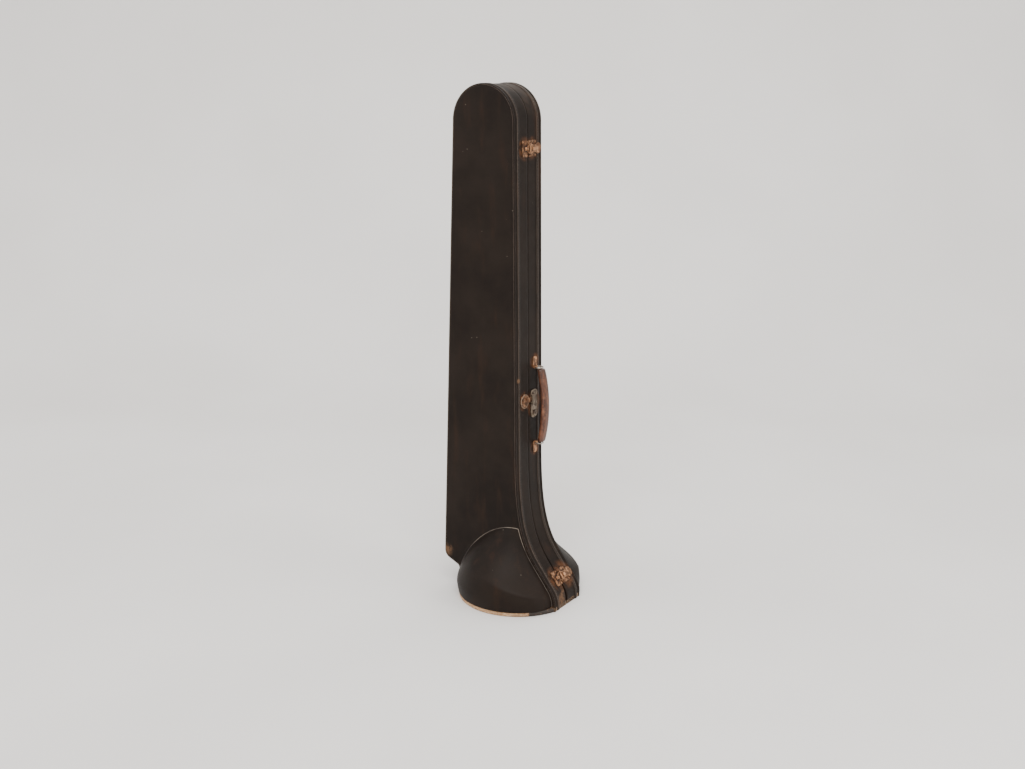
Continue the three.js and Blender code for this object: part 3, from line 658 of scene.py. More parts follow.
def leatherette(name, deep, light, gloss, lines=()):
    """Black-brown coated cloth: fine pebble, streaky wear, rust by the brass, pale flecks."""
    look = Look(name)
    broad = look.noise(7, 5, 0.6)
    streak = look.noise(5, 5, 0.6, look.stretched((9, 9, 1.6)))
    mottle = look.noise(55, 6, 0.65)
    colour = look.mix(look.ramp(broad, 0.35, 0.7), deep, light)
    brown = tuple(v * k for v, k in zip(light, (1.7, 1.25, 0.95)))
    colour = look.glaze(colour, look.ramp(streak, 0.52, 0.74), 0.55, brown)
    colour = look.glaze(colour, look.ramp(mottle, 0.4, 0.75), 0.35, light)
    # Pale crest lines: painted highlight, partly rubbed wear.
    colour = crest_wear_and_highlight(look, colour, mottle, lines)
    ragged = look.noise(90, 5, 0.7)
    rust = look.times(joined_spots(look, hardware_places()), look.ramp(ragged, 0.36, 0.62))
    colour = look.glaze(colour, rust, 0.62, (0.105, 0.043, 0.018))
    worn = look.times(joined_spots(look, worn_places()), look.ramp(ragged, 0.34, 0.56))
    colour = look.glaze(colour, worn, 0.7, (0.15, 0.082, 0.045))
    # Painted highlight: lighter brown patches on the top curve.
    top_highlight = look.times(joined_spots(look, top_highlight_places()), look.ramp(mottle, 0.3, 0.7))
    colour = look.glaze(colour, top_highlight, 0.6, (0.05, 0.034, 0.024))
    flecks = look.math("LESS_THAN", look.cells(70), 0.055)
    kept = look.math("GREATER_THAN", look.noise(23, 2), 0.6)
    fleck = look.times(flecks, kept)
    colour = look.glaze(colour, fleck, 0.55, (0.2, 0.17, 0.14))
    pebble = look.cells(1150, "SMOOTH_F1")
    weave = look.noise(1500, 2)
    normal = look.bump(pebble, 0.3, 0.25)
    normal = look.bump(weave, 0.12, 0.12, normal)
    normal = look.bump(broad, 0.25, 2.5, normal)
    creases = look.ramp(look.noise(16, 8, 0.7, look.stretched((6, 6, 1))), 0.55, 0.62)
    normal = look.bump(creases, 0.12, 0.35, normal)
    rough = look.scaled(mottle, 0.2, gloss)
    rough = look.math("ADD", rough, look.times(worn, 0.2), clamp=True)
    return look.done(colour, rough, normal, Specular_IOR_Level=0.1)


def worn_rim(name):
    """The bell-end rim: tan cloth worn through on the left, still dark and frayed on the right."""
    look = Look(name)
    fibre = look.noise(160, 6, 0.7, look.stretched((1, 1, 3)))
    patch = look.noise(26, 4, 0.6)
    tan = look.mix(look.ramp(fibre, 0.35, 0.7), (0.25, 0.125, 0.055), (0.6, 0.4, 0.23))
    tan = look.glaze(tan, look.ramp(patch, 0.5, 0.7), 0.6, (0.12, 0.06, 0.03))
    jag = look.times(look.math("SUBTRACT", fibre, 0.5), 0.008)
    across = look.math("ADD", look.axis("X"), jag)
    stop = to_metres((78, 0, 0)).x
    dark = look.ramp(across, stop, stop + 0.002)
    far_side = look.ramp(look.axis("Y"), -0.03, 0.02)
    dark = look.math("MAXIMUM", dark, look.times(far_side, look.ramp(patch, 0.3, 0.5)))
    colour = look.mix(dark, tan, (0.022, 0.016, 0.013))
    frayed = look.times(look.ramp(fibre, 0.56, 0.68), dark)
    colour = look.glaze(colour, frayed, 0.7, (0.2, 0.12, 0.07))
    normal = look.bump(fibre, 0.5, 0.6)
    rough = look.scaled(fibre, 0.3, 0.4)
    return look.done(colour, rough, normal, Specular_IOR_Level=0.3)


def tarnished_metal(name, bright, dull, rust, shine):
    """Old brass plate: coppery where it is rubbed, brown where it isn't, with pits of rust."""
    look = Look(name)
    cloud = look.noise(120, 6, 0.65)
    blotch = look.noise(45, 4, 0.6)
    pits = look.ramp(look.noise(420, 5, 0.7), 0.56, 0.7)
    edge = look.node("ShaderNodeNewGeometry").outputs["Pointiness"]
    rubbed = look.math("MAXIMUM", look.ramp(cloud, 0.42, 0.66), look.ramp(edge, 0.52, 0.6))
    colour = look.mix(rubbed, dull, bright)
    colour = look.glaze(colour, look.ramp(blotch, 0.5, 0.68), 0.7, rust)
    colour = look.glaze(colour, pits, 0.75, tuple(v * 0.35 for v in rust))
    scratches = look.noise(700, 2, 0.5, look.stretched((1, 1, 0.06)))
    normal = look.bump(pits, 0.35, 0.15)
    normal = look.bump(cloud, 0.3, 0.3, normal)
    normal = look.bump(scratches, 0.1, 0.08, normal)
    rough = look.scaled(blotch, 0.35, shine)
    rough = look.math("ADD", rough, look.times(pits, 0.25), clamp=True)
    return look.done(colour, rough, normal, Metallic=0.75)


def handle_leather(name):
    """Red-brown strap leather: grain, cracks along its length, dark at its ends."""
    look = Look(name)
    grain = look.cells(900, "SMOOTH_F1")
    cloud = look.noise(60, 5, 0.6)
    along = look.noise(35, 5, 0.65, look.stretched((4, 4, 0.6)))
    colour = look.mix(look.ramp(along, 0.35, 0.65), (0.042, 0.015, 0.008), (0.13, 0.045, 0.022))
    colour = look.glaze(colour, look.ramp(cloud, 0.5, 0.72), 0.6, (0.27, 0.12, 0.065))
    crack = look.ramp(look.cells(210, "DISTANCE_TO_EDGE", look.stretched((1, 1, 0.35))), 0.0, 0.06)
    colour = look.mix(look.math("SUBTRACT", 1.0, crack), colour, (0.03, 0.012, 0.007))
    low, high = (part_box("handle_grip")[k].z for k in (0, 1))
    height = look.axis("Z")
    ends = look.math("MAXIMUM", look.ramp(height, high - 0.012, high - 0.002),
                     look.math("SUBTRACT", 1.0, look.ramp(height, low + 0.002, low + 0.012)))
    colour = look.glaze(colour, ends, 0.55, (0.03, 0.014, 0.009))
    normal = look.bump(grain, 0.2, 0.2)
    normal = look.bump(crack, 0.3, 0.2, normal)
    rough = look.scaled(cloud, 0.25, 0.26)
    return look.done(colour, rough, normal, Specular_IOR_Level=0.35)


def plush(name, deep, light):
    """Wine velvet: short pile lying in patches, with sheen."""
    look = Look(name)
    pile = look.noise(1400, 3, 0.7)
    lay = look.noise(24, 4, 0.55)
    crushed = look.noise(70, 4, 0.6)
    colour = look.mix(look.ramp(lay, 0.35, 0.66), deep, light)
    colour = look.glaze(colour, look.ramp(crushed, 0.52, 0.7), 0.4, deep)
    dust = look.times(look.ramp(pile, 0.66, 0.74), 0.25)
    colour = look.mix(dust, colour, (0.3, 0.2, 0.2))
    normal = look.bump(pile, 0.5, 0.5)
    normal = look.bump(lay, 0.4, 1.4, normal)
    return look.done(colour, 0.9, normal, Sheen_Weight=0.22, Sheen_Roughness=0.4,
                     Sheen_Tint=(0.7, 0.32, 0.4, 1.0))


def wood(name, pale, dark, polish):
    """Straight-grained wood with fine pores."""
    look = Look(name)
    rings = look.noise(30, 4, 0.6, look.stretched((0.6, 5, 5)))
    pores = look.noise(500, 3, 0.6, look.stretched((0.12, 1, 1)))
    colour = look.mix(look.ramp(rings, 0.38, 0.62), dark, pale)
    colour = look.glaze(colour, look.ramp(pores, 0.55, 0.7), 0.5, tuple(v * 0.5 for v in dark))
    normal = look.bump(pores, 0.25, 0.2)
    rough = look.scaled(rings, 0.2, polish)
    return look.done(colour, rough, normal)


def rusted_plate(name, knobs):
    """Latch plate metal: nearly black with rust, with a rubbed boss at each knob."""
    look = Look(name)
    cloud = look.noise(150, 6, 0.7)
    blotch = look.noise(60, 5, 0.65)
    grit = look.noise(480, 5, 0.7)
    colour = look.mix(look.ramp(cloud, 0.44, 0.62), (0.05, 0.024, 0.012), (0.36, 0.19, 0.1))
    colour = look.glaze(colour, look.ramp(blotch, 0.48, 0.62), 0.8, (0.12, 0.046, 0.018))
    colour = look.glaze(colour, look.ramp(grit, 0.55, 0.68), 0.7, (0.03, 0.016, 0.01))
    shadow = joined_spots(look, [(centre, 5.5, 8.5) for centre in knobs])
    colour = look.glaze(colour, shadow, 0.8, (0.018, 0.01, 0.007))
    boss = joined_spots(look, [(centre, 3.3, 3.9) for centre in knobs])
    colour = look.mix(boss, colour, (0.5, 0.27, 0.145))
    normal = look.bump(grit, 0.4, 0.2)
    normal = look.bump(cloud, 0.3, 0.3, normal)
    rough = look.scaled(blotch, 0.35, 0.38)
    return look.done(colour, rough, normal, Metallic=0.6)


def knob_places():
    return [on_wall(right_wall(LATCH_Z), 3.4, -7.5, 0), on_wall(flare_seat(), 3.4, -7.5, 0)]


def steel(name):
    look = Look(name)
    smear = look.noise(180, 4, 0.6)
    freckle = look.ramp(look.noise(600, 4, 0.7), 0.58, 0.7)
    colour = look.mix(look.ramp(smear, 0.4, 0.65), (0.2, 0.17, 0.14), (0.55, 0.5, 0.44))
    colour = look.glaze(colour, freckle, 0.6, (0.09, 0.045, 0.025))
    rough = look.scaled(smear, 0.3, 0.22)
    return look.done(colour, rough, look.bump(freckle, 0.3, 0.1), Metallic=0.9)


def crease(name):
    """The turned edge of cloth, pale in stretches: painted highlight, partly rubbed wear, stronger
    higher up.
    """
    look = Look(name)
    patch = look.ramp(look.noise(18, 4, 0.6), 0.34, 0.6)
    # Painted highlight that grows towards the top of the dome.
    high = look.ramp(look.axis("Z"), 0.07, 0.14)
    pale = look.times(patch, look.scaled(high, 0.7, 0.3))
    colour = look.mix(pale, (0.018, 0.012, 0.009), (0.2, 0.165, 0.13))
    return look.done(colour, 0.5, look.bump(look.noise(700, 3), 0.3, 0.2))


def thread(name):
    look = Look(name)
    twist = look.noise(900, 2, 0.5)
    colour = look.mix(look.ramp(twist, 0.4, 0.6), (0.022, 0.017, 0.014), (0.075, 0.058, 0.045))
    return look.done(colour, 0.7, look.bump(twist, 0.4, 0.2))


LOOKS = {
    "leatherette": leatherette("leatherette", (0.0068, 0.0043, 0.0031), (0.0135, 0.0088, 0.0064),
                               0.42),
    # The binding's and the welt's last argument places pale crest lines: painted highlight, partly
    # rubbed wear.
    "binding": leatherette("binding", (0.009, 0.0062, 0.0047), (0.021, 0.0148, 0.011), 0.36,
                           ((34.0, 0.9, 0.42), (28.9, 0.6, 0.3))),
    "welt": leatherette("welt", (0.008, 0.0055, 0.0042), (0.02, 0.0142, 0.0108), 0.34,
                        ((44.6, 1.0, 0.95),)),
    "worn_rim": worn_rim("worn_rim"),
    "end_board": wood("end_board", (0.16, 0.095, 0.05), (0.06, 0.034, 0.02), 0.55),
    "plush": plush("plush", (0.05, 0.008, 0.015), (0.095, 0.016, 0.029)),
    "tarnished_brass": tarnished_metal("tarnished_brass", (0.5, 0.27, 0.145), (0.12, 0.062, 0.034),
                                       (0.11, 0.042, 0.017), 0.34),
    "lock_brass": tarnished_metal("lock_brass", (0.36, 0.29, 0.22), (0.07, 0.048, 0.034),
                                  (0.06, 0.034, 0.02), 0.36),
    "rusted_plate": rusted_plate("rusted_plate", knob_places()),
    "steel": steel("steel"),
    "handle_leather": handle_leather("handle_leather"),
    "turn_button_wood": wood("turn_button_wood", (0.4, 0.23, 0.11), (0.17, 0.08, 0.035), 0.28),
    "thread": thread("thread"),
    "crease": crease("crease"),
}


# ---------------------------------------------------------------- the covered shells

def sprung(point, body):
    """The lid's seam edge stands off the base near the bell end, as the frame's does."""
    if body != "lid":
        return point
    x, y, z = point
    low = max(1 - z / MM / SPRUNG_HEIGHT, 0) ** 0.85
    outward = min(max((x / MM - SHIFT + FOOT_X) / (2 * FOOT_X), 0), 1)
    fade = max(1 - abs(y) / MM / 22, 0)
    return Vector((x, y - SPRUNG_GAP * low * outward * fade * MM, z))


def wall_profile():
    """(inset, y) round the covered wall: seam lip, wall, binding, groove, bead, face and back."""
    outside = [(2.3, 0.3), (1.6, 0.5), (1.3, 1.1), (1.3, 5), (1.3, 10), (1.3, 16), (1.3, 22),
               (1.3, 27.9), (1.15, 28.5), (0.45, 28.9), (0.15, 29.5), (0.12, 31.5), (0.1, 33.4),
               (0.2, 34.5), (0.6, 35.2), (1.2, 35.8), (1.5, 36.8), (1.6, 38.4), (1.6, 40.0),
               (1.5, 41.0)]
    bead = []
    for i in range(9):
        turned = math.radians(-60 + i * 150 / 8)
        bead.append((1.9 - 1.85 * math.cos(turned), 43.35 + 1.85 * math.sin(turned)))
    face = [(3.1, 44.9), (3.6, 44.55), (4.4, 44.5), (5.2, 44.75), (6.2, FACE_OUTER)]
    inner = [(6.2, FACE_INNER), (7.3, 40.9), (7.3, 30), (7.3, 15), (7.3, 1.2), (7.0, 0.55),
             (6.3, 0.3)]
    return outside + bead + face + inner


def covered_wall(body):
    verts, faces = swept(wall_profile(), OUTLINE, SIDES[body])
    verts = [sprung(v, body) for v in verts]
    new_piece(f"{body}_wall_cover", (verts, faces), "leatherette", body,
              stands_for=[f"{body}_side_frame"], sharp=55)


def binding_strip(body):
    """The stitched edge strip over the wall: a thin skin on the step, in its own cloth."""
    profile = [(1.25, 28.7), (0.4, 28.75), (0.06, 29.3), (0.0, 30.5), (0.0, 33.3), (0.1, 34.5),
               (0.6, 35.3), (1.3, 35.7), (1.6, 35.4), (1.0, 34.6), (0.8, 30)]
    new_piece(f"{body}_binding_strip", swept(profile, OUTLINE, SIDES[body]), "binding", body,
              stands_for=[f"{body}_edge_binding"])


def edge_welt(body):
    """The bead round the face's edge, in its own cloth, close to the binding's."""
    radius, middle_y = 1.95, 43.25
    profile = []
    for turned in turns(10):
        profile.append((radius - radius * math.cos(turned), middle_y + radius * math.sin(turned)))
    new_piece(f"{body}_edge_welt", swept(profile, OUTLINE, SIDES[body]), "welt", body)


def stitching(body):
    """Thread stitches along the binding strip, each sunk into it at both ends."""
    pitch, length, radius, depth, slant = 5.4, 3.4, 0.38, 0.45, 0.06
    line = moved_in(OUTLINE, 0.1)
    stitches = []
    travelled, wanted = 0.0, pitch
    for a, b in zip(line, line[1:]):
        run = math.dist(a, b)
        while run > 1e-6 and travelled + run >= wanted:
            share = (wanted - travelled) / run
            middle = Vector((a[0] + (b[0] - a[0]) * share, STITCH_Y, a[1] + (b[1] - a[1]) * share))
            way = Vector(((b[0] - a[0]) / run, slant, (b[1] - a[1]) / run)).normalized()
            path = []
            for k in range(5):
                along = (k / 4 - 0.5) * length
                sink = depth * (2 * k / 4 - 1) ** 2
                spot = middle + way * along + Vector((-way.z, 0, way.x)) * sink
                path.append(to_metres(spot, SIDES[body]))
            stitches.append(tube(path, radius * MM, 6))
            wanted += pitch
        travelled += run
    new_piece(f"{body}_stitches", bundled(stitches), "thread", body)


def with_mouth(border, mouth):
    """A border open at the bottom, closed by going back round the mouth of the dome."""
    margin, least_step = 1.5, 0.4
    low_x, high_x = border[-1][0] + margin, border[0][0] - margin
    kept = [(min(max(mouth[0][0], low_x), high_x), mouth[0][1])]
    for x, z in mouth[1:]:
        point = (max(x, low_x), z)
        if math.dist(point, kept[-1]) > least_step:
            kept.append(point)
    return border + kept[::-1]


def face_cover(body):
    """The flat face of the shell, let in between the edge bead and the dome."""
    border = with_mouth(moved_in(outline(STAND_Z), 6.0), dome_border(2.6))

    def top(x, z):
        swell = noise.noise(Vector((x / 70, z / 110, SIDES[body] * 3))) * 0.22
        return FACE_OUTER - 0.02 + min(swell, 0.12)

    node = "base_back_panel" if body == "base" else "lid_front_panel"
    new_piece(f"{body}_face_cover", slab(border, 6.0, top, FACE_INNER, SIDES[body]),
              "leatherette", body, stands_for=[node], sharp=50)


def skin(grid, thickness, side):
    """A closed skin of one thickness under a grid, going no deeper than the face's inside."""
    rows, columns = len(grid), len(grid[0])
    top = [Vector(p) for row in grid for p in row]
    normals = []
    for r in range(rows):
        for c in range(columns):
            across = top[r * columns + min(c + 1, columns - 1)] - top[r * columns + max(c - 1, 0)]
            up = top[min(r + 1, rows - 1) * columns + c] - top[max(r - 1, 0) * columns + c]
            normal = across.cross(up)
            normals.append(normal.normalized() if normal.length > 1e-6 else Vector((0, 1, 0)))
    under = [p - n * thickness for p, n in zip(top, normals)]
    under = [Vector((p.x, max(p.y, FACE_INNER), p.z)) for p in under]
    count = len(top)
    faces = []
    for r in range(rows - 1):
        for c in range(columns - 1):
            a = r * columns + c
            faces.append((a, a + 1, a + 1 + columns, a + columns))
            faces.append((count + a, count + a + columns, count + a + 1 + columns, count + a + 1))
    rim = list(range(columns))
    rim += [r * columns + columns - 1 for r in range(1, rows)]
    rim += [(rows - 1) * columns + c for c in range(columns - 2, -1, -1)]
    rim += [r * columns for r in range(rows - 2, 0, -1)]
    for a, b in zip(rim, rim[1:] + rim[:1]):
        faces.append((b, a, a + count, b + count))
    return [to_metres(p, side) for p in top + under], faces


def dome_cover(body):
    grid = dome_rows(0.0, STAND_Z + 0.3, 64, 84)
    soft = []
    for row in grid:
        soft_row = []
        for x, y, z in row:
            swell = noise.noise(Vector((x / 38, z / 38, SIDES[body] * 9))) * 0.5
            soft_row.append((x, y + swell * min((y - HALF_THICKNESS) / 12, 1), z))
        soft.append(soft_row)
    new_piece(f"{body}_dome_cover", skin(soft, DOME_SHELL - 0.4, SIDES[body]), "leatherette",
              body, stands_for=[f"{body}_bell_dome"])


def dome_seam(body):
    """The turned edge of the dome's cloth where it meets the face."""
    path = []
    for x, z in dome_border(-0.4, STAND_Z + 1, 60):
        path.append(to_metres((x, FACE_OUTER + 0.1, z), SIDES[body]))
    new_piece(f"{body}_dome_seam", tube(path, 0.62 * MM), "crease", body)


def rim_roll(body):
    """The bell-end rim: a strip rolled round the end board, bulged and a little uneven."""
    inner = BELL_END_RADIUS + 0.3
    corner = math.asin((HALF_THICKNESS + 0.3 - BELL_Y) / inner)
    steps = 150
    profile = [(0, 0.25), (1.4, 0.2), (2.3, 0.9), (2.75, 2.4), (2.85, 4.4), (2.7, 6.4), (2.2, 7.8),
               (1.2, 8.3), (0.2, 8.2), (-0.2, 7.6)]
    verts = []
    for i in range(steps + 1):
        turned = corner + (math.pi - 2 * corner) * i / steps
        rough = noise.noise(Vector((i * 0.31, SIDES[body], 0))) * 0.22
        for out, z in profile:
            radius = inner + out + rough * (out > 0.5)
            verts.append(to_metres((BELL_X + radius * math.cos(turned),
                                    BELL_Y + radius * math.sin(turned), z), SIDES[body]))
    new_piece(f"{body}_rim_roll", (verts, capped_faces(steps + 1, len(profile))), "worn_rim",
              body, stands_for=[f"{body}_bell_rim"])


def frayed_threads():
    """Loose ends of cloth along the dark right part of the lid's rim."""
    radius = BELL_END_RADIUS + 2.2
    threads = []
    for _ in range(46):
        turned = math.radians(dice.uniform(24, 74))
        start = Vector((BELL_X + radius * math.cos(turned), BELL_Y + radius * math.sin(turned),
                        dice.uniform(1.2, 6.0)))
        way = Vector((dice.uniform(-1, 1), dice.uniform(-0.1, 0.5), dice.uniform(-0.7, 0.5)))
        curl = Vector((dice.uniform(-1, 1), dice.uniform(-0.4, 0.4), dice.uniform(-1, 0.6)))
        length = dice.uniform(1.2, 3.6)
        path = []
        for k in range(5):
            share = k / 4
            spot = start + way * length * share + curl * share * share
            path.append(to_metres((spot.x, spot.y, max(spot.z, 0.3)), -1))
        threads.append(tube(path, 0.14 * MM, 5))
    new_piece("lid_frayed_threads", bundled(threads), "worn_rim", "lid")


# ---------------------------------------------------------------- plush linings

def wall_lining(body):
    profile = [(7.7, 5.4), (8.2, 4.9), (9.2, 4.7), (10.0, 5.2), (10.4, 6.4), (10.3, 12), (10.1, 20),
               (10.3, 29), (10.8, 34), (12.0, 37.0), (14.5, 38.2), (15, LINING_BACK),
               (7.7, LINING_BACK)]
    verts, faces = swept(profile, outline(STAND_Z + 0.4), SIDES[body])
    moved = []
    for v in verts:
        push = noise.noise(v * 45) * 0.35 * MM
        moved.append(v + Vector((push, push * 0.4, 0)))
    new_piece(f"{body}_wall_lining", (moved, faces), "plush", body,
              stands_for=[f"{body}_body_lining"])


def face_lining(body):
    sill = STAND_Z + 0.6
    border = with_mouth(moved_in(outline(sill), 13.5), dome_border(8.7, sill, 30))

    def top(x, z):
        return 37.9 + noise.noise(Vector((x / 42, z / 55, 5))) * 0.5

    shape = slab(border, 6.5, top, LINING_BACK, SIDES[body])
    new_piece(f"{body}_face_lining", shape, "plush", body)


def dome_lining(body):
    grid = dome_rows(DOME_LINING_INSET, STAND_Z + 0.3, 36, 48)
    new_piece(f"{body}_dome_plush", skin(grid, PLUSH - 0.2, SIDES[body]), "plush", body,
              stands_for=[f"{body}_dome_lining"])


def blown(obj, start):
    """Where the points of a pad end after a few steps of cloth under pressure, within a cap."""
    cloth = obj.modifiers.new("Cloth", "CLOTH")
    cloth.settings.quality = 5
    cloth.settings.use_pressure = True
    cloth.settings.uniform_pressure_force = 2.5
    cloth.settings.effector_weights.gravity = 0
    for step in range(1, CLOTH_STEPS + 1):
        scene.frame_set(step)
    graph = bpy.context.evaluated_depsgraph_get()
    ends = [v.co.copy() for v in obj.evaluated_get(graph).to_mesh().vertices]
    obj.modifiers.clear()
    scene.frame_set(1)
    places = []
    for old, new in zip(start, ends):
        move = new - old
        places.append(old + move * min(1, PAD_SWELL / max(move.length, 1e-9)))
    return places


def padded_block(node, body, name):
    """A plush pad in a CAD block's place: remeshed, blown up a little as cloth, kept in its box."""
    obj = bpy.data.objects.new(name, frame["nodes"][node].data.copy())
    scene.collection.objects.link(obj)
    obj.data.materials.clear()
    finish_mesh(obj, 180, 1e-5)
    remesh = obj.modifiers.new("Even", "REMESH")
    remesh.mode = "VOXEL"
    remesh.voxel_size = PAD_VOXEL
    graph = bpy.context.evaluated_depsgraph_get()
    even = bpy.data.meshes.new_from_object(obj.evaluated_get(graph))
    obj.modifiers.clear()
    obj.data = even
    for vertex, normal in zip(even.vertices, [v.normal.copy() for v in even.vertices]):
        vertex.co -= normal * PAD_SHRINK
    for vertex, place in zip(even.vertices, blown(obj, [v.co.copy() for v in even.vertices])):
        vertex.co = place
    low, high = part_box(node)
    for vertex in even.vertices:
        for k in range(3):
            vertex.co[k] = min(max(vertex.co[k], low[k]), high[k])
    smooth = obj.modifiers.new("Soft", "SUBSURF")
    smooth.levels = smooth.render_levels = 1
    for polygon in even.polygons:
        polygon.use_smooth = True
    even.materials.append(LOOKS["plush"])
    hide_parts(node)
    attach(obj, body)


# ---------------------------------------------------------------- brass, steel and leather

def nail_set(name, places, body, look="tarnished_brass", radius=1.25, rise=0.75):
    nails = [domed_nail(centre, out, radius * MM, rise * MM) for centre, out in places]
    new_piece(name, bundled(nails), look, body)


def wall_nails(wall, spots, face=PLATE_FACE):
    out = (wall.to_3x3() @ Vector((1, 0, 0))).normalized()
    return [(on_wall(wall, face, y, z), out) for y, z in spots]


def plate_bead(wall, low_y, high_y, half_z, radius, inset):
    """A raised line pressed into a plate, following its edge at one inset."""
    path = []
    corners = [(high_y, half_z, 0), (low_y, half_z, 90), (low_y, -half_z, 180),
               (high_y, -half_z, 270)]
    for y, z, turned in corners:
        centre_y = y - math.copysign(inset + radius, y - (low_y + high_y) / 2)
        centre_z = z - math.copysign(inset + radius, z)
        for i in range(7):
            angle = math.radians(turned + 90 * i / 6)
            path.append(on_wall(wall, BEAD_X, centre_y + radius * math.cos(angle),
                                centre_z + radius * math.sin(angle)))
    return tube(path, 0.42 * MM, 6, True)


def latch_trim(wall, name):
    """Corner nails and a raised line on a latch's two plates: (body, nail ys, edge ys)."""
    nail_z, half_z = 11.6, 14.5
    parts = {"keeper": ("lid", (-16.2, -3.4), (-19, -1.3)),
             "plate": ("base", (13.5, 23.2), (1.3, 26))}
    for part, (body, nail_ys, _) in parts.items():
        spots = [(y, z) for y in nail_ys for z in (-nail_z, nail_z)]
        nail_set(f"{name}_{part}_nails", wall_nails(wall, spots), body)
    for part, (body, _, edges) in parts.items():
        new_piece(f"{name}_{part}_bead", plate_bead(wall, *edges, half_z, 2.0, 0.7),
                  "rusted_plate", body)


def lock_trim():
    wall = right_wall(LOCK_Z)
    spots = [(17.5, 22.6), (17.5, -23.6), (11, -11), (24.5, 19)]
    nail_set("lock_plate_nails", wall_nails(wall, spots), "base", "lock_brass")
    new_piece("lock_plate_bead", plate_bead(wall, 7, 28, 27, 7.2, 0.8), "lock_brass", "base")
    catch = right_wall(CATCH_Z)
    bead_radius, nail_radius = 12.4, 9.6
    path = []
    for turned in turns(40):
        path.append(on_wall(catch, BEAD_X, CATCH_Y + bead_radius * math.cos(turned),
                            bead_radius * math.sin(turned)))
    new_piece("lock_catch_bead", tube(path, 0.5 * MM, 6, True), "lock_brass", "lid")
    spots = []
    for angle in (1.15, 3.5, 5.0):
        spots.append((CATCH_Y + nail_radius * math.cos(angle), nail_radius * math.sin(angle)))
    nail_set("lock_catch_nails", wall_nails(catch, spots), "lid", radius=1.1, rise=0.6)


def hinge_trim():
    for name, z in (("lower", 160), ("middle", 500), ("upper", 840)):
        for body, y in (("base", -9.6), ("lid", 9.6)):
            spots = wall_nails(left_wall(z), [(y, k) for k in (-15, 0, 15)], 1.5)
            nail_set(f"hinge_{name}_{body}_nails", spots, body, radius=1.3, rise=0.7)


def handle_section(z):
    """How far the grip's middle stands off the wall at one height, and its half sizes there."""
    share = z / GRIP_HALF_LENGTH
    centre = GRIP_STANDOFF + GRIP_BOW * (1 - share ** 2)
    return centre, GRIP_HALF_THICKNESS, GRIP_HALF_WIDTH * (1 - 0.14 * abs(share) ** 4)


def handle_grip():
    """The leather grip: a flattened oval that thins towards its square-cut ends."""
    wall = right_wall(HANDLE_Z)
    rows, sides, bevel_length = 56, 32, 1.6
    verts = []
    for i in range(rows + 1):
        share = -1 + 2 * i / rows
        z = GRIP_HALF_LENGTH * math.copysign(1 - (1 - abs(share)) ** 1.15, share)
        centre, thick, wide = handle_section(z)
        past = max(0, (abs(z) - GRIP_HALF_LENGTH + bevel_length) / bevel_length)
        bevel = 1 - 0.1 * past ** 2
        for turned in turns(sides):
            c, s = math.cos(turned), math.sin(turned)
            x = math.copysign(abs(c) ** 0.85, c) * thick
            y = math.copysign(abs(s) ** 0.66, s) * wide
            seam = 0.45 * math.exp(-((abs(s) - 0.9) / 0.06) ** 2)
            x *= 1 - seam * 0.3
            verts.append(on_wall(wall, centre + x * bevel, HANDLE_Y + y * bevel, z))
    new_piece("grip_leather", (verts, capped_faces(rows + 1, sides)), "handle_leather", "handle",
              stands_for=["handle_grip"], sharp=50)


def grip_stitching():
    """A row of stitches along each long edge of the grip."""
    wall = right_wall(HANDLE_Z)
    pitch, length, each_way = 5.6, 3.6, 11
    stitches = []
    for sign in (-1, 1):
        for i in range(-each_way, each_way + 1):
            path = []
            for k in range(5):
                along = i * pitch + (k / 4 - 0.5) * length
                centre, thick, wide = handle_section(along)
                lift = 0.5 - 0.55 * (2 * k / 4 - 1) ** 2
                path.append(on_wall(wall, centre + thick * 0.64 + lift,
                                    HANDLE_Y + sign * wide * 0.8, along))
            stitches.append(tube(path, 0.33 * MM, 6))
    new_piece("grip_stitches", bundled(stitches), "thread", "handle")


def handle_rings():
    wall = right_wall(HANDLE_Z)
    for name, sign in (("upper", 1), ("lower", -1)):
        path = []
        for turned in turns(48):
            path.append(on_wall(wall, RING_STANDOFF + RING_RADIUS + RING_RADIUS * math.cos(turned),
                                HANDLE_Y + RING_RADIUS * math.sin(turned), sign * RING_Z))
        new_piece(f"handle_wire_{name}", tube(path, 1.08 * MM, 12, True), "steel", "handle",
                  stands_for=[f"handle_ring_{name}"])
        spots = [(HANDLE_Y + y, sign * z) for y, z in ((0, 88.5), (3.3, 81), (-3.3, 81))]
        nail_set(f"handle_plate_nails_{name}", wall_nails(wall, spots), "base",
                 radius=1.15, rise=0.7)


def screw_slots():
    """A driver slot's raised lips on each turn-button screw."""
    half_length, half_gap = 2.2, 0.55
    for name in ("lower", "upper"):
        low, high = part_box(f"turn_button_screw_{name}")
        middle = Vector(((low.x + high.x) / 2, high.y, (low.z + high.z) / 2))
        lips = []
        for offset in (-half_gap, half_gap):
            ends = [middle + Vector((k * half_length, 0, offset)) * MM for k in (-1, 0, 1)]
            lips.append(tube(ends, 0.28 * MM, 6))
        new_piece(f"screw_slot_{name}", bundled(lips), "steel", "lid")


CAD_LOOKS = {
    "lock_catch": "rusted_plate",
    "top_latch_keeper": "rusted_plate",
    "top_latch_plate": "rusted_plate",
    "bottom_latch_keeper": "rusted_plate",
    "bottom_latch_plate": "rusted_plate",
    "lock_plate": "lock_brass",
    "lock_button": "lock_brass",
}


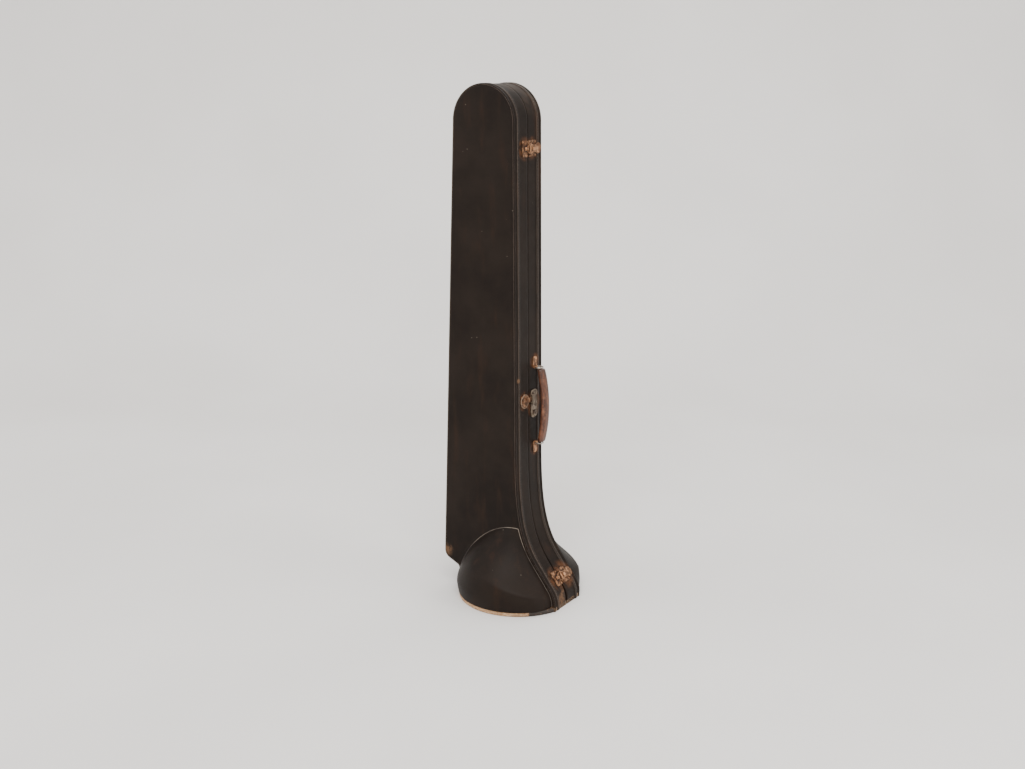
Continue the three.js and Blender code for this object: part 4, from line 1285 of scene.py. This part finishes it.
def dress_cad_nodes():
    """Softened edges and a finish for every CAD node that stays in view."""
    slots = {row["node"]: row["material_slot"] for row in frame["record"]["subparts"]}
    for name, obj in frame["nodes"].items():
        look = LOOKS[CAD_LOOKS.get(name, slots[name])]
        if obj.material_slots:
            for held in obj.material_slots:
                held.material = look
        else:
            obj.data.materials.append(look)
        for polygon in obj.data.polygons:
            polygon.use_smooth = True
        weld = obj.modifiers.new("Weld", "WELD")
        weld.merge_threshold = 1e-5
        bevel = obj.modifiers.new("Soft edges", "BEVEL")
        bevel.width = 0.00028
        bevel.segments = 2
        bevel.limit_method = "ANGLE"
        bevel.angle_limit = math.radians(38)
        shade = obj.modifiers.new("Even shading", "WEIGHTED_NORMAL")
        shade.keep_sharp = True


# ---------------------------------------------------------------- floor, light and camera

def backdrop():
    """A pale floor that curves up behind the case."""
    depth, rise, bend, half = 2.6, 6.0, 1.4, 16.0
    profile = [(-18.0, 0.0), (depth - bend, 0.0)]
    for i in range(1, 17):
        turned = math.pi / 2 * i / 16
        profile.append((depth - bend + bend * math.sin(turned), bend - bend * math.cos(turned)))
    profile.append((depth, rise))
    turn = Matrix.Rotation(math.radians(33.3), 4, "Z")
    verts = [turn @ Vector((x, y, z)) for y, z in profile for x in (-half, half)]
    faces = [(2 * i, 2 * i + 1, 2 * i + 3, 2 * i + 2) for i in range(len(profile) - 1)]
    mesh = bpy.data.meshes.new("floor")
    mesh.from_pydata(verts, [], faces)
    obj = bpy.data.objects.new("floor", mesh)
    scene.collection.objects.link(obj)
    for polygon in mesh.polygons:
        polygon.use_smooth = True
    look = Look("paper")
    cloud = look.noise(1.5, 3, 0.5)
    colour = look.mix(look.ramp(cloud, 0.3, 0.7), (0.66, 0.65, 0.635), (0.7, 0.69, 0.675))
    mesh.materials.append(look.done(colour, 0.85, look.bump(look.noise(400, 2), 0.04, 0.3)))


def area_light(name, place, aim, size, power, tint=(1, 1, 1)):
    data = bpy.data.lights.new(name, "AREA")
    data.shape = "RECTANGLE"
    data.size, data.size_y = size
    data.energy = power
    data.color = tint
    obj = bpy.data.objects.new(name, data)
    scene.collection.objects.link(obj)
    obj.location = place
    obj.rotation_euler = (Vector(aim) - Vector(place)).to_track_quat("-Z", "Y").to_euler()


def studio():
    world = bpy.data.worlds.new("studio")
    world.use_nodes = True
    world.node_tree.nodes["Background"].inputs["Color"].default_value = (1.0, 0.972, 0.95, 1)
    world.node_tree.nodes["Background"].inputs["Strength"].default_value = 1.3
    scene.world = world
    area_light("key", (1.2, -2.0, 3.2), (0, 0, 0.4), (2.4, 2.4), 130, (1.0, 0.975, 0.95))
    area_light("side", (3.0, 0.4, 1.8), (0, 0, 0.5), (1.4, 2.4), 36, (1.0, 0.98, 0.96))
    area_light("fill", (-2.6, -2.2, 2.2), (0, 0, 0.4), (2.4, 2.4), 40, (1.0, 0.98, 0.96))
    area_light("back", (-0.4, 1.4, 3.4), (0, 0.3, 0), (2.6, 1.6), 46, (1.0, 0.98, 0.96))


def camera():
    data = bpy.data.cameras.new("camera")
    data.sensor_width = 36.0
    data.lens = LENS
    obj = bpy.data.objects.new("camera", data)
    scene.collection.objects.link(obj)
    forward = Vector(CAMERA_FORWARD).normalized()
    obj.location = CAMERA_PLACE
    obj.rotation_mode = "QUATERNION"
    obj.rotation_quaternion = forward.to_track_quat("-Z", "Y")
    scene.camera = obj


# ---------------------------------------------------------------- everything together

camera()
studio()
backdrop()
dress_cad_nodes()
for shell in SIDES:
    covered_wall(shell)
    binding_strip(shell)
    edge_welt(shell)
    stitching(shell)
    face_cover(shell)
    dome_cover(shell)
    dome_seam(shell)
    rim_roll(shell)
    wall_lining(shell)
    face_lining(shell)
    dome_lining(shell)
frayed_threads()
for block_node, block_body, block_name in (
    ("bell_collar_block", "base", "bell_collar_pad"),
    ("bow_block", "base", "bow_pad"),
    ("slide_rest_lower", "lid", "slide_pad_lower"),
    ("slide_rest_upper", "lid", "slide_pad_upper"),
):
    padded_block(block_node, block_body, block_name)
latch_trim(right_wall(LATCH_Z), "top_latch")
latch_trim(flare_seat(), "bottom_latch")
lock_trim()
hinge_trim()
handle_grip()
grip_stitching()
handle_rings()
screw_slots()
